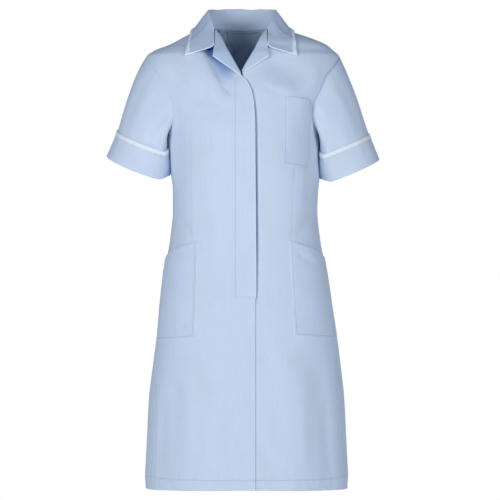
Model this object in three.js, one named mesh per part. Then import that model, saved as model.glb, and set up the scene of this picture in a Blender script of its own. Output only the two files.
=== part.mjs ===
// A short-sleeved nurse dress with a concealed placket, hollow as worn. Millimetres, +Z up.
// The front faces -Y and +X is the wearer's left. The origin is the middle of the neck, at the height
// where the dress hangs on the shoulders.
import * as THREE from "three";

// Cloth
const WALL = 1.2; // thickness of every panel
const TAPE_WALL = 1.0;
const SEAM_GAP = 0.3; // left open between two sewn pieces
const PLY = WALL + SEAM_GAP; // from the middle of one layer to the middle of the next
const HEM_DEPTH = 20;
const HEM_TURN = 1.2; // what the turned-up hem adds inside

// Heights
const SHOULDER_TIP_Z = -64;
const BREAK_Z = -107; // where the two fronts cross at the foot of the neck opening
const ROLL_TOP_Z = -11; // where the lapels roll out of the collar
const BACK_NECK_Z = -8;
const HEM_FRONT_Z = -950;
const HEM_SIDE_DROP = 7;
const HEM_DROP_FADE_Z = -800;
const PLACKET_TOP_Z = -113;
const PLACKET_BOTTOM_Z = -562;

// Centre front
const NECK_X = -5; // the neck opening is centred here
const PLACKET_STITCH_X = -17.5;
const PLACKET_CLEARANCE = 0.5;
const PLACKET_STAND = 2.6; // how far its free edge stands proud where it is open
const PLACKET_FLAT_STAND = 0.5;
const UNDERLAP_STEP = 3.2; // how far the left front steps back behind the right one
const UNDERLAP_RAMP = 9;
const UNDERLAP_END_Z = -600; // the step has died away here
const UNDERLAP_FULL_Z = -566;
const UNDERLAP_TOP_DROP = 3;
const PLACKET_FLAT_Z = -150; // the free edge lies flat down to here, then opens
const PLACKET_OPEN_Z = -200;
const PLACKET_CLOSING_Z = -480;
const PLACKET_CLOSED_Z = -560;
const PLACKET_UPPER_ROWS = [-205, -187, -166, -146, -130, PLACKET_TOP_Z];
const PLACKET_ACROSS = [0, 0.35, 0.7, 0.88, 1];
const PLACKET_OVERHANG = 0.4; // how far the placket's edge reaches past the front's

// Body sections, from the hem up. right and left are the reach to -X and +X, front and back the depths,
// square is 2 for an ellipse and more for a squarer outline.
const SECTIONS = [
  { z: -970, right: 206, left: 219, front: 130, back: 134, square: 2.2 },
  { z: -859, right: 200, left: 213, front: 127, back: 130, square: 2.2 },
  { z: -776, right: 196, left: 209, front: 124, back: 127, square: 2.2 },
  { z: -693, right: 186, left: 200, front: 120, back: 124, square: 2.2 },
  { z: -630, right: 178, left: 192, front: 116, back: 122, square: 2.2 },
  { z: -568, right: 171, left: 182, front: 111, back: 117, square: 2.2 },
  { z: -506, right: 163, left: 171, front: 105, back: 108, square: 2.2 },
  { z: -444, right: 152, left: 159, front: 100, back: 98, square: 2.2 },
  { z: -382, right: 146, left: 153, front: 102, back: 93, square: 2.2 },
  { z: -328, right: 146, left: 155, front: 110, back: 98, square: 2.2 },
  { z: -280, right: 150, left: 154, front: 117, back: 104, square: 2.2 },
  { z: -240, right: 156, left: 156, front: 118, back: 107, square: 2.1 },
  { z: -205, right: 164, left: 163, front: 116, back: 109, square: 2.1 },
  { z: -165, right: 180, left: 179, front: 111, back: 109, square: 2.1 },
  { z: -125, right: 198, left: 197, front: 103, back: 106, square: 2.1 },
  { z: -90, right: 206, left: 204, front: 92, back: 101, square: 2.1 },
  { z: -64, right: 201, left: 199, front: 82, back: 95, square: 2.1 },
  { z: -52, right: 185, left: 187, front: 74, back: 90, square: 2 },
  { z: -40, right: 155, left: 173, front: 66, back: 84, square: 2 },
  { z: -27, right: 130, left: 144, front: 54, back: 76, square: 2 },
  { z: -15, right: 108, left: 109, front: 40, back: 68, square: 2 },
  { z: -8, right: 93, left: 88, front: 29, back: 60, square: 2 },
  { z: 0, right: 77, left: 67, front: 14, back: 46, square: 2 },
];

// Side seams, as degrees round from the front centre.
const SIDE_SEAM = [
  { z: -970, right: 61, left: 64 },
  { z: -870, right: 61.5, left: 64 },
  { z: -776, right: 63, left: 63.5 },
  { z: -720, right: 69, left: 66 },
  { z: -650, right: 80, left: 72 },
  { z: -560, right: 86, left: 82 },
  { z: -450, right: 89, left: 88 },
  { z: -228, right: 90, left: 90 },
];

// Armhole from the underarm (at 0) to the shoulder tip (at 1), as heights and as degrees from the front
// or back centre. centreFront and centreBack are the heights level with it on the centre lines.
const ARMHOLE = [
  { at: 0, frontZ: -228, frontTurn: 90, backZ: -228, backTurn: 90, centreFront: -228, centreBack: -228 },
  { at: 0.05, frontZ: -226, frontTurn: 79, backZ: -226, backTurn: 81, centreFront: -219, centreBack: -217 },
  { at: 0.12, frontZ: -217, frontTurn: 68, backZ: -218, backTurn: 74, centreFront: -205, centreBack: -202 },
  { at: 0.2, frontZ: -203, frontTurn: 59.5, backZ: -205, backTurn: 69, centreFront: -187, centreBack: -184 },
  { at: 0.3, frontZ: -184, frontTurn: 54.5, backZ: -187, backTurn: 65, centreFront: -160, centreBack: -162 },
  { at: 0.42, frontZ: -160, frontTurn: 52, backZ: -163, backTurn: 63, centreFront: -125, centreBack: -136 },
  { at: 0.5, frontZ: -143, frontTurn: 53, backZ: -147, backTurn: 62.5, centreFront: -107, centreBack: -118 },
  { at: 0.58, frontZ: -128, frontTurn: 54, backZ: -131, backTurn: 63, centreFront: -88, centreBack: -100 },
  { at: 0.68, frontZ: -109, frontTurn: 56, backZ: -112, backTurn: 65, centreFront: -64, centreBack: -78 },
  { at: 0.78, frontZ: -93, frontTurn: 61, backZ: -95, backTurn: 70, centreFront: -42, centreBack: -56 },
  { at: 0.87, frontZ: -79, frontTurn: 69, backZ: -81, backTurn: 76, centreFront: -24, centreBack: -36 },
  { at: 0.94, frontZ: -69, frontTurn: 79, backZ: -70, backTurn: 83, centreFront: -11, centreBack: -21 },
  { at: 1, frontZ: -64, frontTurn: 90, backZ: -64, backTurn: 90, centreFront: 0, centreBack: -8 },
];

// Front edges, from the hem to the neck: rightEdge is the right front's, leftEdge the hidden edge of the
// left front behind it, and leftTrack a line on the left front along which it steps back.
const FRONT_EDGES = [
  { z: -970, rightEdge: 25.6, leftEdge: -14, leftTrack: 25.75 },
  { z: -562, rightEdge: 25.5, leftEdge: -14, leftTrack: 25.7 },
  { z: -225, rightEdge: 23.2, leftEdge: -14, leftTrack: 23.5 },
  { z: -176, rightEdge: 21.6, leftEdge: -14, leftTrack: 22.8 },
  { z: -146, rightEdge: 17.4, leftEdge: -14, leftTrack: 20 },
  { z: -125, rightEdge: 8.4, leftEdge: -13, leftTrack: 14.5 },
  { z: -107, rightEdge: -5, leftEdge: -5, leftTrack: 7 },
  { z: -60, rightEdge: -32, leftEdge: 22, leftTrack: 31 },
  { z: -11, rightEdge: -59, leftEdge: 49, leftTrack: 54 },
  { z: 0, rightEdge: -77, leftEdge: 67, leftTrack: 70 },
];

const FOLD_TOP_FADE = 60;
const FOLD_FOOT_FADE = 30;
// Soft standing folds of the skirt and bodice: face is -1 in front and 1 behind.
const FOLDS = [
  { face: -1, x: -62, lean: 0.04, top: -640, bottom: -990, depth: 5, width: 30 },
  { face: -1, x: -135, lean: 0.1, top: -700, bottom: -990, depth: -4, width: 22 },
  { face: -1, x: 92, lean: -0.05, top: -650, bottom: -990, depth: 5, width: 30 },
  { face: -1, x: 150, lean: -0.1, top: -660, bottom: -990, depth: -4, width: 20 },
  { face: -1, x: -56, lean: -0.3, top: -60, bottom: -165, depth: -4.5, width: 17 },
  { face: 1, x: -88, lean: 0.08, top: -520, bottom: -990, depth: 6, width: 34 },
  { face: 1, x: 12, lean: -0.02, top: -600, bottom: -990, depth: -5, width: 36 },
  { face: 1, x: 104, lean: -0.06, top: -540, bottom: -990, depth: 6, width: 32 },
];

// One back pleat across its fold, in millimetres from the middle of the fold: where each line of the
// cloth lies flat, where it lies folded, and how far in.
const PLEAT = [
  { flat: -12, folded: -12, depth: 0 },
  { flat: -7, folded: -2, depth: 0 },
  { flat: -4, folded: 6, depth: 0 },
  { flat: -2, folded: 7.5, depth: 1.6 },
  { flat: 0, folded: 6, depth: 3.2 },
  { flat: 3, folded: -3, depth: 3.2 },
  { flat: 5, folded: -4.6, depth: 4.8 },
  { flat: 7, folded: -3, depth: 6.4 },
  { flat: 16, folded: 11, depth: 6.4 },
  { flat: 34, folded: 32, depth: 0 },
];
const ARMHOLE_STEPS = 100;
const PLEAT_AT = 0.118; // on the back's half width
const PLEAT_SCALE = 300; // millimetres on one half width, near the centre
const PLEAT_TOP_Z = -10;
const PLEAT_END_Z = -330;
const SHOULDER_TURN_POWER = 6; // how late the back's columns swing out to the shoulder seam
const NECK_POINT_AT = 0.38; // where the back neck ends and the shoulder seam starts, on the half width

// Body rows below the underarm, and where the columns stand between the centre and the side.
const SKIRT_ROWS = [
  -950, -938, -930, -885, -835, -780, -720, -660, -605, -562, -510, -460, -415, -375, -335, -295, -260, -228,
];
const FRONT_COLUMNS = [0, 0.09, 0.2, 0.32, 0.44, 0.56, 0.68, 0.79, 0.89, 1];
const UNDERLAP_COLUMNS = [0, 0.5, 1];
const BACK_COLUMNS = [0, 0.04, "pleat", 0.3, NECK_POINT_AT, 0.47, 0.56, 0.65, 0.74, 0.83, 0.92, 1];

// Sleeves: where the middle of the cuff's open end lies, its half width and depth, the arm's lean, how
// far the head of the sleeve starts outwards from the shoulder, and how the open end dips to the front.
const SLEEVES = {
  right: { side: -1, x: 219.5, z: -293, halfWidth: 65, halfDepth: 51, lean: 21, head: 0.28, dip: 0.2 },
  left: { side: 1, x: 223, z: -300, halfWidth: 60, halfDepth: 51, lean: 23, head: 0.04, dip: 0.12 },
};
const CUFF_INNER_RISE = 12; // the open end is this much shorter next to the body
const SLEEVE_FULLNESS = 0.22; // how far the sleeve head swells to front and back
const UNDERARM_SPREAD = 0.35; // and outwards at the underarm
const SIDE_SPREAD = 0.25; // and at the front and back
const SLEEVE_FALL = 0.9; // how strongly the cloth leaves the armhole down the arm
const SLEEVE_ROWS = [0, 0.06, 0.14, 0.25, 0.38, 0.52, 0.68, 0.84, 1];
const CUFF_DEPTH = 56;
const CUFF_TAPE_WIDTH = 8;
const CUFF_STANDOFF = 1.8; // extra clearance of the turned-up edge

// Collar control lines in millimetres: h from the neck's middle, y and z, from the front end round to the
// centre back. narrow is how much closer it lies on the right side. seamAt is the place on the neck seam,
// from the roll of the lapel (0) to the centre back (1).
const COLLAR = [
  {
    seamAt: 0,
    narrow: 0,
    fold: [55.4, -35, -6],
    fall: [[56, -46, -19], [56.4, -61, -33], [57, -74, -47], [86, -78, -58]],
    edge: [114, -74, -66],
  },
  {
    seamAt: 0.14,
    narrow: 1,
    fold: [60, -25, 8],
    fall: [[66, -34, -4], [77, -45, -19], [88, -54, -32], [101, -61, -43]],
    edge: [112.5, -64, -52],
  },
  {
    seamAt: 0.27,
    narrow: 2.5,
    fold: [66, -12, 21],
    fall: [[72, -19, 10], [81, -26, -4], [91, -34, -16], [101, -41, -26]],
    edge: [110, -47, -36],
  },
  {
    seamAt: 0.4,
    narrow: 4,
    fold: [71, 3, 33],
    fall: [[79, 2, 24], [88, 0, 12], [96, -2, 1], [102, -4, -6]],
    edge: [108, -6, -10.5],
  },
  {
    seamAt: 0.58,
    narrow: 3.5,
    fold: [64, 24, 36.5],
    fall: [[72, 28, 27], [82, 33, 14], [92, 38, 1], [100, 42, -8]],
    edge: [106, 46, -15],
  },
  {
    seamAt: 0.78,
    narrow: 2,
    fold: [40, 42, 38.6],
    fall: [[45, 50, 30], [52, 58, 16], [60, 63, 3], [66, 67, -10]],
    edge: [71, 72, -22],
  },
  {
    seamAt: 1,
    narrow: 0,
    fold: [0, 49, 39.2],
    fall: [[0, 58, 31], [0, 65, 17], [0, 71, 4], [0, 76, -10]],
    edge: [0, 81, -22],
  },
];
const SEAM_FRONT_SHARE = 0.4; // of the neck seam that lies in front of the shoulder
const COLLAR_AROUND = 32;
const COLLAR_TAPE_AT = 0.91; // inner edge of the 10 mm tape, across the collar
const COLLAR_ACROSS = [0, 0.1, 0.19, 0.26, 0.31, 0.36, 0.44, 0.56, 0.7, 0.82, COLLAR_TAPE_AT, 1];
const FALL_CLEAR_AT = 0.45;
const FALL_CLEARANCE = 3.4;
const STAND_BOW = 4; // how far the middle of the stand bows towards the neck

// Lapel: corners in millimetres from the neck's middle.
const LAPEL_TOP_Z = ROLL_TOP_Z - 1;
const LAPEL_FOOT = {
  right: { rollZ: BREAK_Z + 1, edgeX: -3.5, edgeZ: -112 },
  left: { rollZ: BREAK_Z + 5, edgeX: 3, edgeZ: -103 },
};
const LAPEL_GORGE = { h: 54, z: -46 };
const LAPEL_TIP = { h: 56.5, z: -70 };
const LAPEL_TIP_AT = 0.28; // how far down its outer edge the tip lies
const LAPEL_ROWS = [0, 0.14, 0.28, 0.42, 0.58, 0.74, 0.88, 1];
// Across a lapel: out from the roll line in millimetres or as a share of the width, and off the chest.
const LAPEL_PROFILE = [
  { over: -1, share: 0, lift: 0 },
  { over: -2.4, share: 0, lift: 1.7 },
  { over: -0.9, share: 0, lift: 3.4 },
  { over: 0, share: 0.3, lift: 4 },
  { over: 0, share: 0.65, lift: 3.6 },
  { over: 0, share: 1, lift: 3 },
];

// Pockets, as corners of the patch. Heights are at its inner and outer edge.
const HIP_POCKETS = {
  right: {
    side: -1,
    innerTopX: 95.5,
    innerBottomX: 101,
    innerTop: -449,
    innerBottom: -641,
    outerTop: -486,
    outerBottom: -650,
  },
  left: {
    side: 1,
    innerTopX: 95.5,
    innerBottomX: 106.5,
    innerTop: -447,
    innerBottom: -637,
    outerTop: -487,
    outerBottom: -645,
  },
};
const CHEST_POCKET = {
  innerX: 83,
  outerTopX: 137,
  outerBottomX: 131,
  innerTop: -153,
  innerBottom: -289,
  outerTop: -160,
  outerBottom: -297,
};
const POCKET_GRID = 7;
const POCKET_FILL = 2.4; // how far the middle of a pocket stands off the panel
const MOUTH_GAPE = 1.6;
const POCKET_SEAM_MARGIN = 1.6; // degrees between a hip pocket and the side seam

const CLOTH_BLUE = new THREE.MeshStandardMaterial({ name: "cloth", color: 0xbccfe9, roughness: 0.82 });
const TAPE_WHITE = new THREE.MeshStandardMaterial({ name: "tape", color: 0xe9eef4, roughness: 0.7 });

const { clamp, lerp, smoothstep, degToRad, radToDeg } = THREE.MathUtils;
const vec = (x, y, z) => new THREE.Vector3(x, y, z);
const mirror = (numbers) => [...numbers].reverse();

// One column of a table at a place between its rows, without overshoot.
function along(rows, key, at, column) {
  const last = rows.length - 1;
  let i = 0;
  while (i < last - 1 && at > rows[i + 1][key]) i++;
  const rise = (k) => (rows[k + 1][column] - rows[k][column]) / (rows[k + 1][key] - rows[k][key]);
  const slope = (k) => {
    if (k === 0) return rise(0);
    if (k === last) return rise(last - 1);
    const before = rise(k - 1);
    const after = rise(k);
    return before * after <= 0 ? 0 : (2 * before * after) / (before + after);
  };
  const step = rows[i + 1][key] - rows[i][key];
  const t = clamp((at - rows[i][key]) / step, 0, 1);
  const a = rows[i][column];
  const b = rows[i + 1][column];
  const start = a * (1 + 2 * t) + step * slope(i) * t;
  const end = b * (3 - 2 * t) - step * slope(i + 1) * (1 - t);
  return start * (1 - t) ** 2 + end * t ** 2;
}

// The body's cross section at a height.
function sectionAt(z) {
  const right = along(SECTIONS, "z", z, "right");
  const left = along(SECTIONS, "z", z, "left");
  return {
    centre: (left - right) / 2,
    half: (left + right) / 2,
    front: along(SECTIONS, "z", z, "front"),
    back: along(SECTIONS, "z", z, "back"),
    square: along(SECTIONS, "z", z, "square"),
  };
}

// How far the soft folds stand out at a point of the front or back.
function foldDepth(face, x, z) {
  let depth = 0;
  for (const fold of FOLDS) {
    if (fold.face !== face || z > fold.top || z < fold.bottom) continue;
    const middle = fold.x + fold.lean * (z - fold.top);
    const across = (x - middle) / fold.width;
    const ends = smoothstep(fold.top - z, 0, FOLD_TOP_FADE) * smoothstep(z - fold.bottom, 0, FOLD_FOOT_FADE);
    depth += fold.depth * Math.exp(-across * across) * ends;
  }
  return depth;
}

// A point of the body: turn is in degrees round from the front centre, positive towards +X.
function bodyPoint(turn, z) {
  const s = sectionAt(z);
  const sin = Math.sin(degToRad(turn));
  const cos = Math.cos(degToRad(turn));
  const reach = (Math.abs(sin) ** s.square + Math.abs(cos) ** s.square) ** (-1 / s.square);
  const face = cos > 0 ? -1 : 1;
  const x = s.centre + s.half * reach * sin;
  const depth = (cos > 0 ? s.front : s.back) * reach * Math.abs(cos);
  return vec(x, face * (depth + foldDepth(face, x, z) * Math.abs(cos)), z);
}

// A point of the body that keeps the body's own normal, so that two panels meet square at a seam.
function seamPoint(turn, z) {
  const point = bodyPoint(turn, z);
  point.normal = bodyNormal(turn, z);
  return point;
}

// The turn at which the front of the body reaches x.
function turnAt(x, z) {
  const s = sectionAt(z);
  const share = clamp((x - s.centre) / s.half, -1, 1);
  return radToDeg(Math.atan2(share, (1 - Math.abs(share) ** s.square) ** (1 / s.square)));
}

function bodyNormal(turn, z) {
  const across = bodyPoint(turn + 0.5, z).sub(bodyPoint(turn - 0.5, z));
  const up = bodyPoint(turn, z + 1).sub(bodyPoint(turn, z - 1));
  return across.cross(up).normalize();
}

// A point over the front, lifted off it.
function overFront(x, z, lift) {
  const turn = turnAt(x, z);
  return bodyPoint(turn, z).addScaledVector(bodyNormal(turn, z), lift);
}

// How far a point lies outside the plain body, and the direction that leads out of it.
function outsideBody(point) {
  const share = (x, y, z) => {
    const s = sectionAt(z);
    const depth = y < 0 ? s.front : s.back;
    const sum = Math.abs((x - s.centre) / s.half) ** s.square + Math.abs(y / depth) ** s.square;
    return sum ** (1 / s.square) - 1;
  };
  const { x, y, z } = point;
  const here = share(x, y, z);
  const out = vec(share(x + 1, y, z) - share(x - 1, y, z), share(x, y + 1, z) - share(x, y - 1, z), 0);
  out.z = share(x, y, z + 1) - share(x, y, z - 1);
  out.multiplyScalar(0.5);
  return { distance: here / out.length(), out: out.normalize() };
}

// Lifts a point to at least a clearance off the body.
function clearOfBody(point, clearance) {
  for (let k = 0; k < 3; k++) {
    const { distance, out } = outsideBody(point);
    if (distance < clearance) point.addScaledVector(out, clearance - distance);
  }
  return point;
}

// The heights of the hem dip a little towards the sides and back.
function hemmed(turn, z) {
  const side = Math.sin(degToRad(clamp(Math.abs(turn), 0, 90))) ** 2;
  return z - HEM_SIDE_DROP * side * smoothstep(-z, -HEM_DROP_FADE_Z, -HEM_FRONT_Z);
}

// Normals of a grid of points. closed joins its last column to the first.
function gridNormals(grid, closed) {
  return grid.map((row, i) =>
    row.map((_, j) => {
      if (row[j].normal) return row[j].normal;
      const n = row.length;
      const after = closed ? row[(j + 1) % n] : row[Math.min(j + 1, n - 1)];
      const before = closed ? row[(j + n - 1) % n] : row[Math.max(j - 1, 0)];
      const above = grid[Math.min(i + 1, grid.length - 1)][j];
      const below = grid[Math.max(i - 1, 0)][j];
      return after.clone().sub(before).cross(above.clone().sub(below)).normalize();
    }),
  );
}

// A cloth wall on both sides of a grid of points, whose columns run to the right of an onlooker outside and
// whose rows run up. keep leaves out cells, inner adds thickness inside.
function wall(grid, { closed = false, thickness = WALL, keep = () => true, inner = () => 0 } = {}) {
  const rows = grid.length;
  const columns = grid[0].length;
  const cells = closed ? columns : columns - 1;
  const normals = gridNormals(grid, closed);
  const place = [];
  const at = (i, j, side) => 2 * (i * columns + (j % columns)) + side;
  for (let i = 0; i < rows; i++)
    for (let j = 0; j < columns; j++) {
      const n = normals[i][j];
      place.push(grid[i][j].clone().addScaledVector(n, thickness / 2));
      place.push(grid[i][j].clone().addScaledVector(n, -thickness / 2 - inner(i, j)));
    }
  const faces = [];
  const quad = (a, b, c, d) => faces.push(a, b, c, a, c, d);
  // A cell is halved along its shorter diagonal.
  const cell = (a, b, c, d) => {
    const longer = place[a].distanceTo(place[c]) > place[b].distanceTo(place[d]);
    return longer ? quad(b, c, d, a) : quad(a, b, c, d);
  };
  const kept = (i, j) => {
    if (i < 0 || i >= rows - 1) return false;
    if (!closed && (j < 0 || j >= cells)) return false;
    return keep(i, (j + cells) % cells);
  };
  for (let i = 0; i < rows - 1; i++)
    for (let j = 0; j < cells; j++) {
      if (!kept(i, j)) continue;
      cell(at(i, j, 0), at(i, j + 1, 0), at(i + 1, j + 1, 0), at(i + 1, j, 0));
      cell(at(i, j, 1), at(i + 1, j, 1), at(i + 1, j + 1, 1), at(i, j + 1, 1));
      if (!kept(i - 1, j)) quad(at(i, j, 1), at(i, j + 1, 1), at(i, j + 1, 0), at(i, j, 0));
      if (!kept(i + 1, j)) quad(at(i + 1, j, 0), at(i + 1, j + 1, 0), at(i + 1, j + 1, 1), at(i + 1, j, 1));
      if (!kept(i, j - 1)) quad(at(i, j, 1), at(i, j, 0), at(i + 1, j, 0), at(i + 1, j, 1));
      if (!kept(i, j + 1)) quad(at(i, j + 1, 0), at(i, j + 1, 1), at(i + 1, j + 1, 1), at(i + 1, j + 1, 0));
    }
  const used = [...new Set(faces)].sort((a, b) => a - b);
  const renumber = new Map(used.map((old, index) => [old, index]));
  const positions = used.flatMap((old) => place[old].toArray());
  const geometry = new THREE.BufferGeometry();
  geometry.setAttribute("position", new THREE.Float32BufferAttribute(positions, 3));
  geometry.setIndex(faces.map((old) => renumber.get(old)));
  geometry.computeVertexNormals();
  return geometry;
}

// Pulls the border of a grid in by half a seam gap.
function trimmed(grid) {
  const pulled = grid.map((row) => row.map((p) => Object.assign(p.clone(), { normal: p.normal })));
  const pull = (p, towards) => p.addScaledVector(towards.clone().sub(p).normalize(), SEAM_GAP / 2);
  grid.forEach((row, i) => {
    pull(pulled[i][0], row[1]);
    pull(pulled[i][row.length - 1], row[row.length - 2]);
  });
  grid[0].forEach((_, j) => pull(pulled[grid.length - 1][j], grid[grid.length - 2][j]));
  return pulled;
}

// All rows of a body panel: below the underarm one height, above it the places of the armhole table.
function panelRows(centreColumn) {
  const low = SKIRT_ROWS.map((z) => ({ centreZ: z, low: true, at: 0 }));
  const high = ARMHOLE.slice(1).map((row) => ({ centreZ: row[centreColumn], low: false, at: row.at }));
  return [...low, ...high];
}

// The height and turn at the side of a front in one row.
function frontSide(row, name) {
  if (row.low) return { z: row.centreZ, turn: along(SIDE_SEAM, "z", row.centreZ, name) };
  return { z: along(ARMHOLE, "at", row.at, "frontZ"), turn: along(ARMHOLE, "at", row.at, "frontTurn") };
}

// Points of a front from one x at the centre to the side, in one row, for columns from 0 to 1.
function frontRow(row, name, side, startX, columns) {
  const edge = frontSide(row, name);
  const startTurn = row.at === 1 ? side * 90 : turnAt(startX, row.centreZ);
  return columns.map((u) => {
    const turn = lerp(startTurn, side * edge.turn, u);
    const z = hemmed(turn, lerp(row.centreZ, edge.z, u));
    return u === 1 || row.at === 1 ? seamPoint(turn, z) : bodyPoint(turn, z);
  });
}

function rightFront() {
  const grid = panelRows("centreFront").map((row) => {
    const startX = along(FRONT_EDGES, "z", row.centreZ, "rightEdge");
    return mirror(frontRow(row, "right", -1, startX, FRONT_COLUMNS));
  });
  return wall(trimmed(grid), { inner: hemTurn });
}

// How far the left front lies behind the surface of the body, where the right front covers it.
function stepBack(x, z) {
  const beyond = x - along(FRONT_EDGES, "z", z, "rightEdge");
  const height = smoothstep(z, UNDERLAP_END_Z, UNDERLAP_FULL_Z);
  return UNDERLAP_STEP * (1 - smoothstep(beyond, 1, UNDERLAP_RAMP)) * height;
}

function leftFront() {
  const rows = panelRows("centreFront");
  const grid = rows.map((row) => {
    const edgeX = along(FRONT_EDGES, "z", row.centreZ, "leftEdge");
    const trackX = along(FRONT_EDGES, "z", row.centreZ, "leftTrack");
    const hidden = UNDERLAP_COLUMNS.slice(0, -1).map((u) => {
      const turn = row.at === 1 ? 90 : turnAt(lerp(edgeX, trackX, u), row.centreZ);
      if (row.at === 1) return seamPoint(turn, -UNDERLAP_TOP_DROP * u);
      return bodyPoint(turn, hemmed(turn, row.centreZ));
    });
    const centreZ = row.at === 1 ? -UNDERLAP_TOP_DROP : row.centreZ;
    const shown = frontRow({ ...row, centreZ }, "left", 1, trackX, FRONT_COLUMNS);
    return [...hidden, ...shown].map((p) => {
      const turn = turnAt(p.x, p.z);
      const step = row.at === 1 ? 0 : stepBack(p.x, p.z);
      return step > 0 ? p.addScaledVector(bodyNormal(turn, p.z), -step) : p;
    });
  });
  const behind = UNDERLAP_COLUMNS.length - 1;
  const keep = (i, j) => j >= behind || rows[i].centreZ >= PLACKET_BOTTOM_Z;
  return wall(trimmed(grid), { keep, inner: hemTurn });
}

// The hem's turned-up layer thickens the foot of a panel.
function hemTurn(i) {
  return SKIRT_ROWS[i] < HEM_FRONT_Z + HEM_DEPTH ? HEM_TURN : 0;
}

// Half of the back's columns: each has its place on the half width and its line in the pleat, if any.
function backColumns() {
  return BACK_COLUMNS.flatMap((u) => {
    if (u !== "pleat") return [{ u, line: null }];
    return PLEAT.map((line) => ({ u: PLEAT_AT + line.flat / PLEAT_SCALE, line }));
  });
}

// The turn from the back centre and the height of a place on the back. Above the underarm the armhole,
// the shoulder seam and the neck bound it, so it is blended from all four.
function backPlace(row, u, name) {
  if (row.low) {
    const seam = 180 - along(SIDE_SEAM, "z", row.centreZ, name);
    return { turn: u * seam, z: row.centreZ };
  }
  const side = { z: along(ARMHOLE, "at", row.at, "backZ"), turn: along(ARMHOLE, "at", row.at, "backTurn") };
  const neck = clamp(u / NECK_POINT_AT, 0, 1);
  const shoulder = clamp((u - NECK_POINT_AT) / (1 - NECK_POINT_AT), 0, 1);
  const topTurn = 90 * neck;
  const topZ = BACK_NECK_Z * Math.cos(degToRad(topTurn)) ** 2 + SHOULDER_TIP_Z * shoulder;
  return {
    turn: u * side.turn + row.at ** SHOULDER_TURN_POWER * (topTurn - 90 * u),
    z: lerp(row.centreZ, side.z, u) + row.at * (topZ - lerp(BACK_NECK_Z, SHOULDER_TIP_Z, u)),
  };
}

function backPoint(row, column, side, name) {
  const flat = backPlace(row, column.u, name);
  const folded = column.line ? 1 - smoothstep(-flat.z, -PLEAT_TOP_Z, -PLEAT_END_Z) : 0;
  const shift = column.line ? (folded * (column.line.folded - column.line.flat)) / PLEAT_SCALE : 0;
  const place = backPlace(row, column.u + shift, name);
  const turn = side * (180 - place.turn);
  const depth = column.line ? Math.sqrt(folded) * column.line.depth : 0;
  const z = hemmed(turn, place.z);
  if (column.u === 1 || (row.at === 1 && !column.line)) return seamPoint(turn, z);
  return bodyPoint(turn, z).addScaledVector(bodyNormal(turn, z), -depth);
}

function back() {
  const columns = backColumns();
  const grid = panelRows("centreBack").map((row) => {
    const left = columns.map((column) => backPoint(row, column, 1, "left"));
    const right = columns.slice(1).map((column) => backPoint(row, column, -1, "right"));
    return [...mirror(left), ...right];
  });
  return wall(trimmed(grid), { inner: hemTurn });
}

// The armhole's edge from the shoulder tip down the front to the underarm and up the back: place gives the
// point and the frame at a share of its length, and shareOf the share at a step of its outline.
function armholeLoop(side) {
  const steps = 2 * ARMHOLE_STEPS;
  const points = [];
  const lengths = [0];
  for (let k = 0; k <= steps; k++) {
    const front = k < ARMHOLE_STEPS;
    const at = Math.abs(k / ARMHOLE_STEPS - 1);
    const turn = along(ARMHOLE, "at", at, front ? "frontTurn" : "backTurn");
    const z = along(ARMHOLE, "at", at, front ? "frontZ" : "backZ");
    const bodyTurn = side * (front ? turn : 180 - turn);
    points.push(Object.assign(bodyPoint(bodyTurn, z), { out: bodyNormal(bodyTurn, z) }));
    if (k > 0) lengths.push(lengths[k - 1] + points[k].distanceTo(points[k - 1]));
  }
  const shareOf = (k) => lengths[k] / lengths[steps];
  const middle = points[0].clone().add(points[ARMHOLE_STEPS]).multiplyScalar(0.5);
  const place = (share) => {
    let k = 0;
    while (k < steps - 1 && shareOf(k + 1) <= share) k++;
    const t = (share - shareOf(k)) / (shareOf(k + 1) - shareOf(k));
    const point = points[k].clone().lerp(points[k + 1], t);
    const out = points[k].out.clone().lerp(points[k + 1].out, t).normalize();
    const ahead = points[(k + 2) % steps].clone().sub(points[(k + steps - 1) % steps]);
    const beyond = ahead.cross(out).normalize();
    if (beyond.dot(middle.clone().sub(point)) < 0) beyond.negate();
    return { point, out, beyond };
  };
  return { place, shareOf };
}

// A function of a sleeve's surface: round from 0 to 1 from the shoulder by the front, down from the
// armhole (0) to the open end (1) and past it.
function sleeveSurface({ side, x, z, halfWidth, halfDepth, lean, head, dip }) {
  const loop = armholeLoop(side);
  const axis = vec(side * Math.sin(degToRad(lean)), 0, -Math.cos(degToRad(lean)));
  const outward = vec(side * Math.cos(degToRad(lean)), 0, Math.sin(degToRad(lean)));
  const forward = vec(0, -1, -dip);
  const centre = vec(side * x, 0, z);
  return (round, down) => {
    const angle = 2 * Math.PI * round;
    const under = (1 - Math.cos(angle)) / 2;
    const { point: start, out, beyond } = loop.place(round);
    const spread = lerp(head, UNDERARM_SPREAD, under) + SIDE_SPREAD * Math.sin(angle) ** 2;
    const leave = vec(side * spread, -SLEEVE_FULLNESS * Math.sin(angle), 0);
    leave.addScaledVector(axis, SLEEVE_FALL).normalize();
    const away = leave.dot(beyond);
    start.addScaledVector(beyond, SEAM_GAP + (WALL / 2) * Math.max(leave.dot(out), 0));
    start.addScaledVector(out, (PLY - SEAM_GAP / 2) * Math.max(-away, 0));
    const end = centre.clone().addScaledVector(outward, halfWidth * Math.cos(angle));
    end.addScaledVector(forward, halfDepth * Math.sin(angle));
    end.addScaledVector(axis, -CUFF_INNER_RISE * smoothstep(under, 0.75, 1));
    const length = start.distanceTo(end);
    if (down > 1) return end.addScaledVector(axis, (down - 1) * length);
    const t = down;
    const point = start.multiplyScalar((1 + 2 * t) * (1 - t) ** 2);
    point.addScaledVector(leave, length * t * (1 - t) ** 2);
    point.addScaledVector(end, t * t * (3 - 2 * t));
    return point.addScaledVector(axis, length * t * t * (t - 1));
  };
}

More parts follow.
